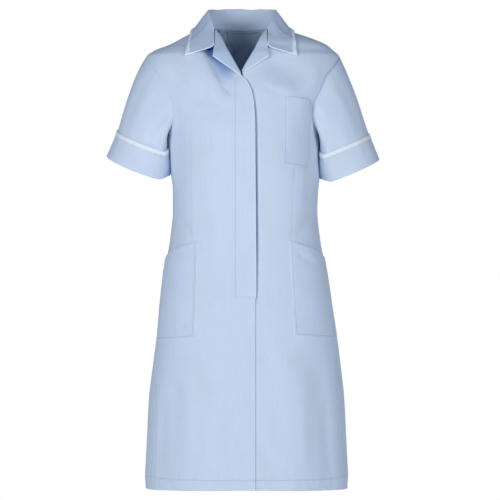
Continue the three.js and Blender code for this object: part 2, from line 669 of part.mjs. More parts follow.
// How far round each column of a sleeve lies: level with the points of the panels' armholes, and in the
// order in which an onlooker outside sees them.
function roundPlaces(side) {
  const { shareOf } = armholeLoop(side);
  const front = mirror(ARMHOLE).map((row) => Math.round((1 - row.at) * ARMHOLE_STEPS));
  const behind = ARMHOLE.slice(1, -1).map((row) => Math.round((1 + row.at) * ARMHOLE_STEPS));
  const places = [...front, ...behind].map(shareOf);
  return side > 0 ? mirror(places) : places;
}

// A band round a sleeve, from rows that give the height above the open end and the lift off the sleeve.
function sleeveBand(surface, side, rows, thickness) {
  const places = roundPlaces(side);
  const lengths = places.map((round) => surface(round, 0).distanceTo(surface(round, 1)));
  const bare = rows.map((row) => places.map((round, k) => surface(round, 1 - row.up / lengths[k])));
  const normals = gridNormals(bare, true);
  const lifted = (p, i, j) => p.clone().addScaledVector(normals[i][j], rows[i].lift);
  const grid = bare.map((ring, i) => ring.map((p, j) => lifted(p, i, j)));
  return wall(grid, { closed: true, thickness });
}

const group = new THREE.Group();
group.name = "nurse_dress";

function addPiece(name, geometry, material = CLOTH_BLUE) {
  const mesh = new THREE.Mesh(geometry, material);
  mesh.name = name;
  group.add(mesh);
}

function addSleeve(name, sleeve) {
  const surface = sleeveSurface(sleeve);
  const places = roundPlaces(sleeve.side);
  const grid = mirror(SLEEVE_ROWS).map((down) => places.map((round) => surface(round, down)));
  const cuffLift = PLY + CUFF_STANDOFF;
  const tapeLift = (WALL + TAPE_WALL) / 2 + 2 * SEAM_GAP;
  addPiece(`sleeve_${name}`, wall(grid, { closed: true }));
  addPiece(
    `cuff_${name}`,
    sleeveBand(
      surface,
      sleeve.side,
      [
        { up: -1.3, lift: 0 },
        { up: -1.9, lift: 1.1 },
        { up: 0.5, lift: PLY + 0.5 },
        { up: CUFF_DEPTH * 0.2, lift: lerp(PLY + 0.5, cuffLift, 0.2) },
        { up: CUFF_DEPTH * 0.4, lift: lerp(PLY + 0.5, cuffLift, 0.4) },
        { up: CUFF_DEPTH * 0.62, lift: lerp(PLY + 0.5, cuffLift, 0.62) },
        { up: CUFF_DEPTH - CUFF_TAPE_WIDTH, lift: cuffLift - 0.2 },
        { up: CUFF_DEPTH, lift: cuffLift },
      ],
      WALL,
    ),
  );
  addPiece(
    `cuff_tape_${name}`,
    sleeveBand(
      surface,
      sleeve.side,
      [
        { up: CUFF_DEPTH - CUFF_TAPE_WIDTH, lift: cuffLift + tapeLift },
        { up: CUFF_DEPTH, lift: cuffLift + tapeLift },
      ],
      TAPE_WALL,
    ),
    TAPE_WHITE,
  );
}

// The neck seam as the panels leave it, from the roll of the right lapel by the shoulder to the back.
function neckSeam(at, side) {
  if (at < SEAM_FRONT_SHARE) {
    const z = lerp(ROLL_TOP_Z, 0, at / SEAM_FRONT_SHARE);
    const startX = along(FRONT_EDGES, "z", z, side < 0 ? "rightEdge" : "leftEdge");
    return bodyPoint(z < 0 ? turnAt(startX, z) : side * 90, z);
  }
  const turn = 90 * (1 - (at - SEAM_FRONT_SHARE) / (1 - SEAM_FRONT_SHARE));
  const z = BACK_NECK_Z * Math.cos(degToRad(turn)) ** 2;
  return bodyPoint(side * (180 - turn), z);
}

// The collar's surface: round from its right to its left front end, across from the neck seam to its edge.
function collarSurface() {
  const lines = [];
  const stations = [
    ...COLLAR.map((row) => ({ row, side: -1 })),
    ...mirror(COLLAR.slice(0, -1)).map((row) => ({ row, side: 1 })),
  ];
  const controls = stations.map(({ row, side }) => {
    const placed = ([h, y, z]) => vec(NECK_X + side * h + (side < 0 ? row.narrow : 0), y, z);
    const seam = neckSeam(row.seamAt, side).add(vec(0, 0, WALL / 2 + SEAM_GAP));
    const fold = placed(row.fold);
    const middle = seam.clone().lerp(fold, 0.5);
    middle.addScaledVector(vec(NECK_X - middle.x, -middle.y, 0).normalize(), STAND_BOW * row.seamAt);
    return [seam, middle, fold, ...row.fall.map(placed), placed(row.edge)];
  });
  for (let k = 0; k < controls[0].length; k++)
    lines.push(new THREE.CatmullRomCurve3(controls.map((points) => points[k])));
  return (round, across) => {
    const section = new THREE.CatmullRomCurve3(lines.map((line) => line.getPoint(round)));
    const point = section.getPoint(across);
    return across > FALL_CLEAR_AT && point.z < 0 ? clearOfBody(point, FALL_CLEARANCE) : point;
  };
}

function collarGrid(surface) {
  const rounds = Array.from({ length: COLLAR_AROUND + 1 }, (_, k) => k / COLLAR_AROUND);
  return mirror(COLLAR_ACROSS).map((across) => rounds.map((round) => surface(round, across)));
}

// The tape lies on the two outermost lines of the collar, whose normals point to the wearer.
function collarTape(grid) {
  const normals = gridNormals(grid, false);
  const lift = -(WALL + TAPE_WALL) / 2 - SEAM_GAP;
  const lines = [0, 1].map((i) => grid[i].map((p, j) => p.clone().addScaledVector(normals[i][j], lift)));
  return wall(lines, { thickness: TAPE_WALL });
}

// A lapel, folded back over its own front along the roll line.
function lapel(side) {
  const foot = LAPEL_FOOT[side < 0 ? "right" : "left"];
  const column = side < 0 ? "rightEdge" : "leftEdge";
  const grid = LAPEL_ROWS.map((v) => {
    const rollZ = lerp(LAPEL_TOP_Z, foot.rollZ, v);
    const rollX = along(FRONT_EDGES, "z", rollZ, column);
    const down = clamp((v - LAPEL_TIP_AT) / (1 - LAPEL_TIP_AT), 0, 1);
    const top = clamp(v / LAPEL_TIP_AT, 0, 1);
    const tipX = NECK_X + side * lerp(LAPEL_GORGE.h, LAPEL_TIP.h, top);
    const outerX = v < LAPEL_TIP_AT ? tipX : lerp(tipX, foot.edgeX, down);
    const shoulderZ = lerp(LAPEL_GORGE.z, LAPEL_TIP.z, top);
    const outerZ = v < LAPEL_TIP_AT ? shoulderZ : lerp(LAPEL_TIP.z, foot.edgeZ, down);
    const width = Math.hypot(outerX - rollX, outerZ - rollZ);
    const size = clamp(width / 12, 0.3, 1);
    return LAPEL_PROFILE.map((line) => {
      const x = lerp(rollX, outerX, line.share) + side * line.over * size;
      const z = lerp(rollZ, outerZ, line.share);
      return overFront(x, z, line.lift * lerp(0.75, 1, size));
    });
  });
  return wall(mirror(side < 0 ? grid.map(mirror) : grid));
}

// The concealed placket: a doubled stand on the right front, whose free edge stands a little proud.
function placket() {
  const heights = SKIRT_ROWS.filter((z) => z >= PLACKET_BOTTOM_Z);
  const grid = [...heights, ...PLACKET_UPPER_ROWS].map((z) => {
    const edgeX = along(FRONT_EDGES, "z", z, "rightEdge") + PLACKET_OVERHANG;
    const opening = smoothstep(-z, -PLACKET_FLAT_Z, -PLACKET_OPEN_Z);
    const closing = smoothstep(-z, -PLACKET_CLOSING_Z, -PLACKET_CLOSED_Z);
    const stand = lerp(PLACKET_FLAT_STAND, PLACKET_STAND, opening * (1 - closing));
    return PLACKET_ACROSS.map((u) => {
      const lift = PLY + PLACKET_CLEARANCE + smoothstep(u, 0.5, 1) * stand;
      return overFront(lerp(PLACKET_STITCH_X, edgeX, u), z, lift);
    });
  });
  return wall(grid);
}

// A patch pocket on a front: place gives the x and height at (u, v), u from its inner to its outer edge
// and v from the bottom to the mouth.
function pocket(side, place) {
  const grid = [];
  for (let i = 0; i <= POCKET_GRID; i++) {
    const v = i / POCKET_GRID;
    const row = [];
    for (let j = 0; j <= POCKET_GRID; j++) {
      const u = j / POCKET_GRID;
      const { turn, z } = place(u, v);
      const belly = POCKET_FILL * (4 * u * (1 - u)) ** 0.7 * smoothstep(v, 0, 0.4);
      const gape = MOUTH_GAPE * Math.sin(Math.PI * u) * smoothstep(v, 0.6, 1);
      row.push(bodyPoint(turn, z).addScaledVector(bodyNormal(turn, z), PLY + belly + gape));
    }
    grid.push(side < 0 ? mirror(row) : row);
  }
  return wall(grid);
}

function hipPocket(name) {
  const p = HIP_POCKETS[name];
  return pocket(p.side, (u, v) => {
    const innerZ = lerp(p.innerBottom, p.innerTop, v);
    const outerZ = lerp(p.outerBottom, p.outerTop, v);
    const innerTurn = turnAt(p.side * lerp(p.innerBottomX, p.innerTopX, v), innerZ);
    const outerTurn = p.side * (along(SIDE_SEAM, "z", outerZ, name) - POCKET_SEAM_MARGIN);
    return { turn: lerp(innerTurn, outerTurn, u), z: lerp(innerZ, outerZ, u) };
  });
}

function chestPocket() {
  const p = CHEST_POCKET;
  return pocket(1, (u, v) => {
    const innerZ = lerp(p.innerBottom, p.innerTop, v);
    const outerZ = lerp(p.outerBottom, p.outerTop, v);
    const outerTurn = turnAt(lerp(p.outerBottomX, p.outerTopX, v), outerZ);
    return { turn: lerp(turnAt(p.innerX, innerZ), outerTurn, u), z: lerp(innerZ, outerZ, u) };
  });
}

const collar = collarGrid(collarSurface());
addPiece("front_right", rightFront());
addPiece("front_left", leftFront());
addPiece("placket", placket());
addPiece("back", back());
addSleeve("right", SLEEVES.right);
addSleeve("left", SLEEVES.left);
addPiece("collar", wall(collar));
addPiece("collar_tape", collarTape(collar), TAPE_WHITE);
addPiece("lapel_right", lapel(-1));
addPiece("lapel_left", lapel(1));
addPiece("chest_pocket", chestPocket());
addPiece("hip_pocket_right", hipPocket("right"));
addPiece("hip_pocket_left", hipPocket("left"));

export default group;
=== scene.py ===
"""A light blue nurse uniform dress in its worn form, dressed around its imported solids.

Lengths in the tables are millimetres. The front faces -Y, +X is the wearer's left and +Z is up, and the
origin is the middle of the neck at the height where the dress hangs on the shoulders.
"""

import math

import bpy
import numpy as np
from bpy.props import FloatProperty, FloatVectorProperty, PointerProperty
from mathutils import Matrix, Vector


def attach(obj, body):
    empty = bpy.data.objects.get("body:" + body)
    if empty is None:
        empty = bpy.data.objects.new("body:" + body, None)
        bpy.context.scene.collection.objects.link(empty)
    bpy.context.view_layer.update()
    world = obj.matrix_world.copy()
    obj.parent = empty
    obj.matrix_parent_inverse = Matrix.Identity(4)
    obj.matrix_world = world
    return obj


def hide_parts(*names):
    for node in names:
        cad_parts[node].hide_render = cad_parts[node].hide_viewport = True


bl_info = {
    "name": "Nurse Dress",
    "version": (1, 0, 0),
    "blender": (4, 5, 0),
    "location": "3D View > Sidebar > Dress",
    "description": "Sews a short-sleeved uniform dress from shaped cloth panels",
    "category": "Add Mesh",
}

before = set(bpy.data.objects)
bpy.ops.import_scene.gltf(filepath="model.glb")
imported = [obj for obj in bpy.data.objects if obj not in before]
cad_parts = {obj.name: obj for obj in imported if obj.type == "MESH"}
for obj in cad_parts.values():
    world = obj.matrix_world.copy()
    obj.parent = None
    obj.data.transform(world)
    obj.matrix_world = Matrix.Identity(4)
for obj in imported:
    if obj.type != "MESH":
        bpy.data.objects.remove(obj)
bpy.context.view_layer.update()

MM = 0.001
BODY = "root"


def table(columns, rows):
    """A table with named columns, as one array a column."""
    return dict(zip(columns.split(), np.array(rows, float).T))


def row_table(columns, values):
    """A table that is read row by row, each with its values by name."""
    return [dict(zip(columns.split(), row)) for row in values]


# Cloth
WALL = 1.2  # thickness of the panels' solids
SEAM_GAP = 0.3  # between the solids of two panels
PLY = WALL + SEAM_GAP
SEAM_PULL = 0.25  # how far a panel's edge is drawn back from the seam line
# Borders at a seam, from their outermost line to the panel: how far past the seam, and how deep.
SEAM_TURN = ((0.2, 0.42), (0.12, 0.15))
SEAM_TUCK = ((2.8, 1.0), (0.9, 0.9), (0.3, 0.35))
BEND_ANGLES = (150, 110, 70, 30)  # round the edge of cloth that is folded under
LINE_POINTS = 40  # points along a straight seam
GRID_STEP = 3.0  # spacing of the rows of a front
BACK_STEP = 3.9  # and of the back
UPPER_ROWS = {"front": 84, "back": 62}  # rows of a panel above the underarm
FAR = 99.0  # the distance to a line that a piece doesn't have

# Heights
SHOULDER_TIP_Z = -64
BREAK_Z = -107
ROLL_TOP_Z = -11
BACK_NECK_Z = -8
HEM_FRONT_Z = -950
HEM_SIDE_DROP = 7
HEM_DROP_FADE_Z = -800
HEM_DEPTH = 20
HEM_LINE_Z = HEM_FRONT_Z + HEM_DEPTH
HEM_ROWS = (0.8, 2, 17, 18.6, 20, 21.4, 23)  # rows of points close to the hem's edge and stitches
UNDERARM_Z = -228
UNDERARM_FILL = 3.4  # swell of the cloth against a sleeve, from its heights and round from its turns
UNDERARM_HEIGHTS = (-345, -300, -240, -226)
UNDERARM_TURNS = (60, 84)
PLACKET_TOP_Z = -113
PLACKET_BOTTOM_Z = -562

# Centre front
NECK_X = -5
PLACKET_STITCH_X = -17.5
PLACKET_STAND = 2.6
PLACKET_FLAT_STAND = 0.5
PLACKET_RISE = 1.1
PLACKET_SINK = 1.3  # how far the front lies lower under the placket
UNDERLAP_STEP = 3.2
UNDERLAP_RAMP = 9
UNDERLAP_TOP_DROP = 3
SEAM_STEP = 1.7
SIDE_LINE_Z = -640  # the side seams show below this height
CENTRE_SEAM_X = 25.6  # the drawn line below the placket's foot
CENTRE_SEAM_REACH = 8
# Deeper colour of the left front in the shade of the placket: heights, reach beyond the edge and amount.
PLACKET_SHADE = dict(low=(420, 560), high=(120, 300), beyond=(1, 8), painted_shade=0.7)
# Painted shade: the fronts are coloured deeper where they swell against a sleeve below the underarm.
UNDERARM_PAINTED_SHADE = 0.6
# Painted shade: the lower back is coloured deeper from just behind the side seams, where it shows beside the
# fronts.
PAINTED_SIDE_SHADE = dict(turns=(106, 114), fade=60, painted_shade=0.25)  # the back where it shows beside the fronts

# Hem: its stitches draw the cloth in, waves run above and below them, and its edge rolls inwards.
HEM = dict(draw=0.55, seam=1.7, wave=0.55, wave_length=30, wave_reach=9, edge=0.35, edge_length=46, roll=2.4)

SECTIONS = table(
    "z right left front back square",
    [
        (-970, 206, 219, 130, 134, 2.2),
        (-859, 200, 213, 127, 130, 2.2),
        (-776, 196, 209, 124, 127, 2.2),
        (-693, 186, 200, 120, 124, 2.2),
        (-630, 178, 192, 116, 122, 2.2),
        (-568, 171, 182, 111, 117, 2.2),
        (-506, 163, 171, 105, 108, 2.2),
        (-444, 152, 159, 100, 98, 2.2),
        (-382, 146, 153, 102, 93, 2.2),
        (-328, 146, 155, 110, 98, 2.2),
        (-280, 150, 154, 117, 104, 2.2),
        (-240, 156, 156, 118, 107, 2.1),
        (-205, 164, 163, 116, 109, 2.1),
        (-165, 180, 179, 111, 109, 2.1),
        (-125, 198, 197, 103, 106, 2.1),
        (-90, 206, 204, 92, 101, 2.1),
        (-64, 201, 199, 82, 95, 2.1),
        (-52, 185, 187, 74, 90, 2),
        (-40, 155, 173, 66, 84, 2),
        (-27, 130, 144, 54, 76, 2),
        (-15, 108, 109, 40, 68, 2),
        (-8, 93, 88, 29, 60, 2),
        (0, 77, 67, 14, 46, 2),
    ],
)
SIDE_SEAM = table(
    "z right left",
    [
        (-970, 61, 64),
        (-870, 61.5, 64),
        (-776, 63, 63.5),
        (-720, 69, 66),
        (-650, 80, 72),
        (-560, 86, 82),
        (-450, 89, 88),
        (-228, 90, 90),
    ],
)
ARMHOLE = table(
    "at frontZ frontTurn backZ backTurn centreFront centreBack",
    [
        (0, -228, 90, -228, 90, -228, -228),
        (0.05, -226, 79, -226, 81, -219, -217),
        (0.12, -217, 68, -218, 74, -205, -202),
        (0.2, -203, 59.5, -205, 69, -187, -184),
        (0.3, -184, 54.5, -187, 65, -160, -162),
        (0.42, -160, 52, -163, 63, -125, -136),
        (0.5, -143, 53, -147, 62.5, -107, -118),
        (0.58, -128, 54, -131, 63, -88, -100),
        (0.68, -109, 56, -112, 65, -64, -78),
        (0.78, -93, 61, -95, 70, -42, -56),
        (0.87, -79, 69, -81, 76, -24, -36),
        (0.94, -69, 79, -70, 83, -11, -21),
        (1, -64, 90, -64, 90, 0, -8),
    ],
)
FRONT_EDGES = table(
    "z rightEdge leftEdge leftTrack",
    [
        (-970, 25.6, 13, 25.75),
        (-575, 25.5, 13, 25.7),
        (-556, 25.5, -14, 25.7),
        (-225, 23.2, -14, 23.5),
        (-176, 21.6, -14, 22.8),
        (-146, 17.4, -14, 20),
        (-125, 8.4, -13, 14.5),
        (-107, -5, -5, 7),
        (-60, -32, 22, 31),
        (-11, -59, 49, 54),
        (0, -77, 67, 70),
    ],
)
FOLDS = row_table(
    "face x lean top bottom depth width",
    [
        (-1, -62, 0.04, -640, -990, 5, 30),
        (-1, -135, 0.1, -700, -990, -4, 22),
        (-1, 92, -0.05, -650, -990, 5, 30),
        (-1, 150, -0.1, -660, -990, -4, 20),
        (-1, -56, -0.3, -60, -165, -4.5, 17),
        (1, -88, 0.08, -520, -990, 6, 34),
        (1, 12, -0.02, -600, -990, -5, 36),
        (1, 104, -0.06, -540, -990, 6, 32),
    ],
)
PLEAT_EDGE = 7.5  # how far the upper layer of a pleat reaches
PLEAT = table(
    "flat folded depth",
    [
        (-12, -12, 0),
        (-7, -2, 0),
        (-4, 6, 0),
        (-2, PLEAT_EDGE, 1.6),
        (0, 6, 3.2),
        (3, -3, 3.2),
        (5, -4.6, 4.8),
        (7, -3, 6.4),
        (16, 11, 6.4),
        (34, 32, 0),
    ],
)
PLEAT_AT = 0.118
PLEAT_SCALE = 300
PLEAT_TOP_Z = -10
PLEAT_END_Z = -330
PLEAT_LINE_X = 35  # the folds of the pleats as they show inside the neck
PLEAT_LINE_Z = -110
PLEAT_STRAIGHT_Z = (-230, -125, -66, -30)  # its edge runs straight between the middle two heights
PLEAT_REACH = 0.1  # how far round the back moves with the pleat's edge, as a share of its width
# Painted shadow: deeper colour along the pleats' inner folds inside the neck.
PLEAT_PAINTED_SHADOW = 0.6
NECK_POINT_AT = 0.38
SHOULDER_TURN_POWER = 6

# Creases: face is -1 in front and 1 behind, from one end to the other as x and z. width is the reach to
# each side, sharp the share of it on the steeper side, and bow how far the middle lies off the
# straight line.
CREASES = row_table(
    "face x0 z0 x1 z1 depth width sharp bow",
    [
        (-1, -84, -40, -30, -138, -2.5, 9, 0.7, 3),
        (-1, -47, -126, -21, -150, -1.8, 4.5, 0.6, 1),
        (-1, -108, -58, -52, -138, 2.6, 14, 1, 5),
        (-1, -162, -88, -46, -178, -5, 19, 0.8, 8),
        (-1, -150, -70, -96, -150, 2.2, 15, 1, -6),
        (-1, -90, -190, -24, -176, -0.9, 10, 0.8, 4),
        (-1, -92, -214, -22, -210, 0.8, 12, 1, -3),
        (-1, -172, -150, -166, -262, -1.6, 9, 0.7, 5),
        (-1, -150, -168, -144, -300, 1.2, 12, 1, 4),
        (-1, -128, -235, -118, -330, -0.9, 9, 1, 2),
        (-1, 34, -128, 86, -150, -1.6, 11, 0.7, 3),
        (-1, 18, -142, 128, -150, 3.2, 24, 0.8, -6),
        (-1, 42, -66, 140, -110, -6, 28, 0.9, 8),
        (-1, 150, -86, 128, -150, 1.5, 13, 0.8, -5),
        (-1, 146, -150, 142, -250, -1.6, 9, 0.7, -4),
        (-1, 124, -292, 119, -400, 1.2, 10, 0.7, 2),
        (-1, 60, -250, 52, -420, -1.1, 16, 1, 4),
        (-1, -62, -330, -54, -470, 0.8, 15, 1, 4),
        (-1, -138, -380, -96, -446, -1.1, 9, 0.7, 3),
        (-1, 146, -384, 104, -440, -1.2, 9, 0.7, -3),
        (-1, 36, -600, 58, -720, -1.53, 14, 1, 5),
        (-1, 12, -640, -8, -800, 1.53, 13, 1, -4),
        (-1, 44, -780, 70, -905, 1.87, 15, 1, 4),
        (-1, 6, -820, -22, -938, -1.87, 12, 1, 4),
        (-1, -118, -700, -112, -930, 2.38, 16, 1, -5),
        (-1, -160, -760, -166, -930, -2.04, 11, 1, 3),
        (-1, 122, -720, 130, -930, 2.38, 16, 1, 5),
        (-1, 168, -760, 178, -930, -2.04, 11, 1, 3),
        (1, -150, -130, -72, -250, -1.8, 15, 0.8, 7),
        (1, 150, -128, 78, -256, -1.8, 15, 0.8, -7),
        (1, -120, -96, -60, -180, 1.4, 16, 1, 5),
        (1, 118, -98, 66, -176, 1.4, 16, 1, -5),
        (1, -138, -352, -40, -398, -3.6, 13, 0.7, 8),
        (1, 136, -346, 34, -404, -3.3, 13, 0.7, -8),
        (1, -128, -392, -30, -420, 2.25, 12, 0.8, 6),
        (1, 130, -390, 44, -430, 2.1, 12, 0.8, -6),
        (1, -136, -424, -58, -452, -2.25, 11, 0.8, 5),
        (1, 140, -430, 70, -450, -2.25, 11, 0.8, -5),
        (1, -46, -470, -62, -640, 2.55, 20, 1, 6),
        (1, 52, -480, 66, -660, 2.55, 20, 1, -6),
        (1, -4, -620, 4, -930, 3.06, 17, 1, 6),
        (1, -140, -620, -156, -930, -3.06, 17, 1, 6),
        (1, 144, -640, 160, -930, -3.06, 17, 1, -6),
        (1, 58, -700, 52, -930, -2.38, 16, 1, 4),
        (1, -40, -720, -44, -930, -2.38, 16, 1, -4),
    ],
)
CREASE_FADE = (-0.12, 0.32)  # the shares of its length over which a crease begins
FOLD_FADE = (60, 30)  # the length over which a fold of the skirt begins, and over which it ends
# The hollow beside the right lapel, with its foot less deep than its head. Its last two values are the
# painted shade that deepens its colour, and that shade's power.
HOLLOW = dict(
    ends=(-88, -42, -28, -142),
    fall=(-12, 12),
    rise=(24, 40),
    head=(-0.3, 0),
    foot=(0.6, 1.06),
    foot_share=0.45,
    depth=12,
    painted_shade=1.02,
    tone_power=0.9,
)
DARTS = row_table(
    "side topX topZ footX footZ",
    [
        (-1, -109.5, -225, -109, -446),
        (1, 107, -230, 98.6, -446),
    ],
)
# The sunk seam of a dart and the fullness round it: lift, half width and fade past its ends.
DART_SHAPES = ((-0.9, 2.2, 12), (0.8, 16, 30))

# Sleeves
SLEEVES = {
    "right": dict(side=-1, x=219.5, z=-293, half_width=65, half_depth=51, lean=21, head=0.28, dip=0.2),
    "left": dict(side=1, x=223, z=-300, half_width=60, half_depth=51, lean=23, head=0.04, dip=0.12),
}
# How far the cloth of a sleeve lies off its plain form
SLEEVE_EASE = {
    name: table("down outer inner", eases)
    for name, eases in (
        ("right", [(0, 0, 0), (0.2, -1.2, 3.6), (0.4, -2.4, 4.4), (0.74, -2.4, 4.0), (1, 1.6, 2.6)]),
        ("left", [(0, 0, 0), (0.2, 0.8, 4.6), (0.4, 1.8, 5.6), (0.74, 1.2, 5.4), (1, 1.6, 4.8)]),
    )
}
CUFF_INNER_RISE = 9  # how much higher the open end is next to the body
# Places round a sleeve, from its shoulder by its front: the middle and the reach of two stretches.
INNER_FRONT = (0.36, 0.11)
INNER_SIDE = (0.5, 0.06)
# Painted shade where a sleeve and its cuff lie against the body.
INNER_PAINTED_SHADE = 0.5
SLEEVE_FULLNESS = 0.22
UNDERARM_SPREAD = 0.35
SIDE_SPREAD = 0.25
SLEEVE_FALL = 0.9
CUFF_DEPTH = 56
CUFF_TAPE_WIDTH = 8
TAPE_LIFT = {"cuff": 0.72, "collar": 0.8}  # how far a tape lies above its cloth, and less at its edges
TAPE_EDGE_SINK = 0.2
ARMHOLE_STEPS = 200
SLEEVE_ROUND = 372  # millimetres round a sleeve, and along it
SLEEVE_LONG = 190
SLEEVE_WAYS = (("round", SLEEVE_ROUND), ("down", SLEEVE_LONG))
# Creases of a sleeve, as shares round from the shoulder by the front and down from the armhole.
SLEEVE_CREASES = row_table(
    "round0 down0 round1 down1 depth width sharp bow",
    [
        (0.36, -0.02, 0.27, 0.62, -2.0, 9, 0.7, 6),
        (0.3, 0.02, 0.2, 0.72, 1.6, 13, 1, 4),
        (0.42, 0.04, 0.37, 0.72, -1.8, 8, 0.8, 3),
        (0.14, 0.1, 0.12, 0.78, -1.2, 12, 0.9, -3),
        (0.06, 0.05, 0.05, 0.6, 1.0, 12, 1, 3),
        (0.6, 0.02, 0.67, 0.66, -2.0, 10, 0.7, -6),
        (0.7, 0.04, 0.78, 0.7, 1.6, 13, 1, -4),
        (0.86, 0.1, 0.88, 0.78, -1.3, 12, 0.9, 4),
        (0.47, 0.35, 0.33, 0.52, -1.3, 6, 0.8, 4),
        (0.53, 0.35, 0.68, 0.55, -1.3, 6, 0.8, -4),
    ],
)
# Stretches of rows of points across a cuff: start, end and how many
CUFF_ROWS = ((0, 0.2, 8), (0.22, 0.4, 12), (0.43, 0.88, 22), (0.9, 1, 10))
CUFF_TAPE_AT = (0.822, 0.9)
# A turned-up cuff from its hidden inner edge round the open end to its upper edge: height above the open
# end and lift off the sleeve.
CUFF_PROFILE = table(
    "at up lift",
    [
        (0, 26, -1.3),
        (0.2, 1.5, -1.3),
        (0.26, -0.9, -0.9),
        (0.3, -1.9, 0.2),
        (0.34, -1.4, 1.3),
        (0.38, 0.6, 1.7),
        (0.9, 54.5, 1.4),
        (0.93, 56.2, 1.25),
        (0.95, 56, 0.85),
        (1, 46, 0.75),
    ],
)

# The fall's edge at the front end of the collar, and at the two stations behind it
FRONT_CORNER, FRONT_EDGE, SIDE_EDGE = (114, -74, -66), (112.5, -64, -52), (110, -47, -36)
# Collar stations: across them run the seam, the fold, four lines of the fall and the edge. Each place is
# the distance h from the neck's middle, then y and z.
COLLAR_STATIONS = [
    (
        0,
        0,
        [(55.4, -35, -6), (56, -46, -19), (56.4, -61, -33), (57, -74, -47), (86, -78, -58), FRONT_CORNER],
    ),
    (0.14, 1, [(60, -25, 8), (66, -34, -4), (77, -45, -19), (88, -54, -32), (101, -61, -43), FRONT_EDGE]),
    (0.27, 2.5, [(66, -12, 21), (72, -19, 10), (81, -26, -4), (91, -34, -16), (101, -41, -26), SIDE_EDGE]),
    (0.4, 4, [(71, 3, 33), (79, 2, 24), (88, 0, 12), (96, -2, 1), (102, -4, -6), (108, -6, -10.5)]),
    (0.58, 3.5, [(64, 24, 36.5), (72, 28, 27), (82, 33, 14), (92, 38, 1), (100, 42, -8), (106, 46, -15)]),
    (0.78, 2, [(40, 42, 38.6), (45, 50, 30), (52, 58, 16), (60, 63, 3), (66, 67, -10), (71, 72, -22)]),
    (1, 0, [(0, 49, 39.2), (0, 58, 31), (0, 65, 17), (0, 71, 4), (0, 76, -10), (0, 81, -22)]),
]
COLLAR_ROWS = ((0, 0.2, 8), (0.215, 0.4, 16), (0.43, 0.97, 24))  # start, end and number of its rows
COLLAR_ROUND = 460  # its length in millimetres, for its waves
COLLAR_CREST = (0.29, 0.1)  # middle and reach of the fold, across the collar
SEAM_FRONT_SHARE = 0.4  # the share of the collar's seam that runs down to the lapel
COLLAR_TAPE_WIDTH = 9
TAPE_WRAP = ((0.5, 0.4), (0.7, -0.5), (0.3, -1.7), (-1.2, -2.2))  # past the collar's edge, and above it
FALL_CLEAR_AT = 0.45  # from here to its edge the fall keeps its clearance off the body
FALL_CLEARANCE = 3.4
STAND_BOW = 4  # how far the stand bows inwards at the back

# Lapels
LAPEL_TOP_Z = ROLL_TOP_Z - 1
LAPEL_GORGE = (54, -46)
LAPEL_TIP = (56.5, -70)
LAPEL_TIP_AT = 0.28
LAPEL_FULL = 12  # the width from which a lapel has its full profile
LAPEL_THIN = 0.75  # the share of its lift where it runs out
LAPEL_FOOT = {"right": (BREAK_Z + 1, -3.5, -112), "left": (BREAK_Z + 5, 3, -103)}
LAPEL_PROFILE = table(
    "at over share lift",
    [
        (0, 2.5, 0, -1.6),
        (0.06, -0.6, 0, -0.4),
        (0.12, -2.2, 0, 1.5),
        (0.19, -0.9, 0, 3.3),
        (0.32, 0, 0.2, 4.1),
        (0.6, 0, 0.6, 3.7),
        (1, 0, 1, 3),
    ],
)

# Pockets, as corners of the patch
HIP_POCKETS = {
    "right": dict(side=-1, inner_x=(101, 95.5), inner_z=(-641, -449), outer_z=(-650, -486)),
    "left": dict(side=1, inner_x=(106.5, 95.5), inner_z=(-637, -447), outer_z=(-645, -487)),
}
CHEST_POCKET = dict(inner_x=83, outer_x=(131, 137), inner_z=(-289, -153), outer_z=(-297, -160))
POCKET_FILL = 3.2
MOUTH_GAPE = 1.1
POCKET_SEAM_MARGIN = 1.6
POCKET_PAINTED_SHADE = 0.2  # painted shade: how much darker the pockets are coloured
# Painted shade: the lapels and the collar are coloured deeper, the right lapel most.
LAPEL_PAINTED_SHADE = {"right": 0.43, "left": 0.32}
COLLAR_PAINTED_SHADE = 0.37
POCKET_STITCH = 2.0  # from a pocket's edge to its stitches
# Creases of the pockets: the piece's name, then ends as shares across and up, depth, width and bow.
POCKET_CREASES = row_table(
    "piece u0 v0 u1 v1 depth width bow",
    [
        ("hip_pocket_right", 0.98, 0.9, 0.6, 0.8, -1.1, 5, 5),
        ("hip_pocket_right", 0.95, 0.84, 0.7, 0.74, 0.8, 5, 4),
        ("hip_pocket_right", 0.3, 0.95, 0.12, 0.86, -0.9, 5, 3),
        ("hip_pocket_right", 0.2, 0.08, 0.04, 0.2, -0.8, 6, 3),
        ("hip_pocket_left", 0.06, 0.93, 0.42, 0.83, -1.2, 8, 5),
        ("hip_pocket_left", 0.3, 0.97, 0.55, 0.87, 0.6, 8, 4),
        ("hip_pocket_left", 0.96, 0.9, 0.62, 0.86, -1.0, 5, 4),
        ("chest_pocket", 0.2, 0.96, 0.6, 0.93, -0.7, 4, 3),
        ("chest_pocket", 0.75, 0.3, 0.6, 0.75, 0.6, 7, 3),
    ],
)

# Stitches of the pockets besides those round them, from one end to the other as shares across and up
POCKET_SEAMS = {
    "hip": [(0.02, 0.935, 0.98, 0.935), (0.02, 0.995, 0.07, 0.95), (0.93, 0.95, 0.98, 0.995)],
    "chest": [
        (0.04, 0.995, 0.125, 0.964),
        (0.125, 0.964, 0.04, 0.913),
        (0.72, 0.9, 0.97, 0.9),
        (0.72, 0.9, 0.72, 0.99),
    ],
}

# Camera: the photograph's, level and square to the front
CAMERA_DISTANCE = 4.5
CAMERA_X = 0.0135
CAMERA_Z = -0.4648
FOCAL_PIXELS = 2169
FRAME_PIXELS = 500
SENSOR = 36.0
FLOOR_Z = -1.3
FLOOR_RADIUS = 1.5
FLOOR_GLOW = 0.2
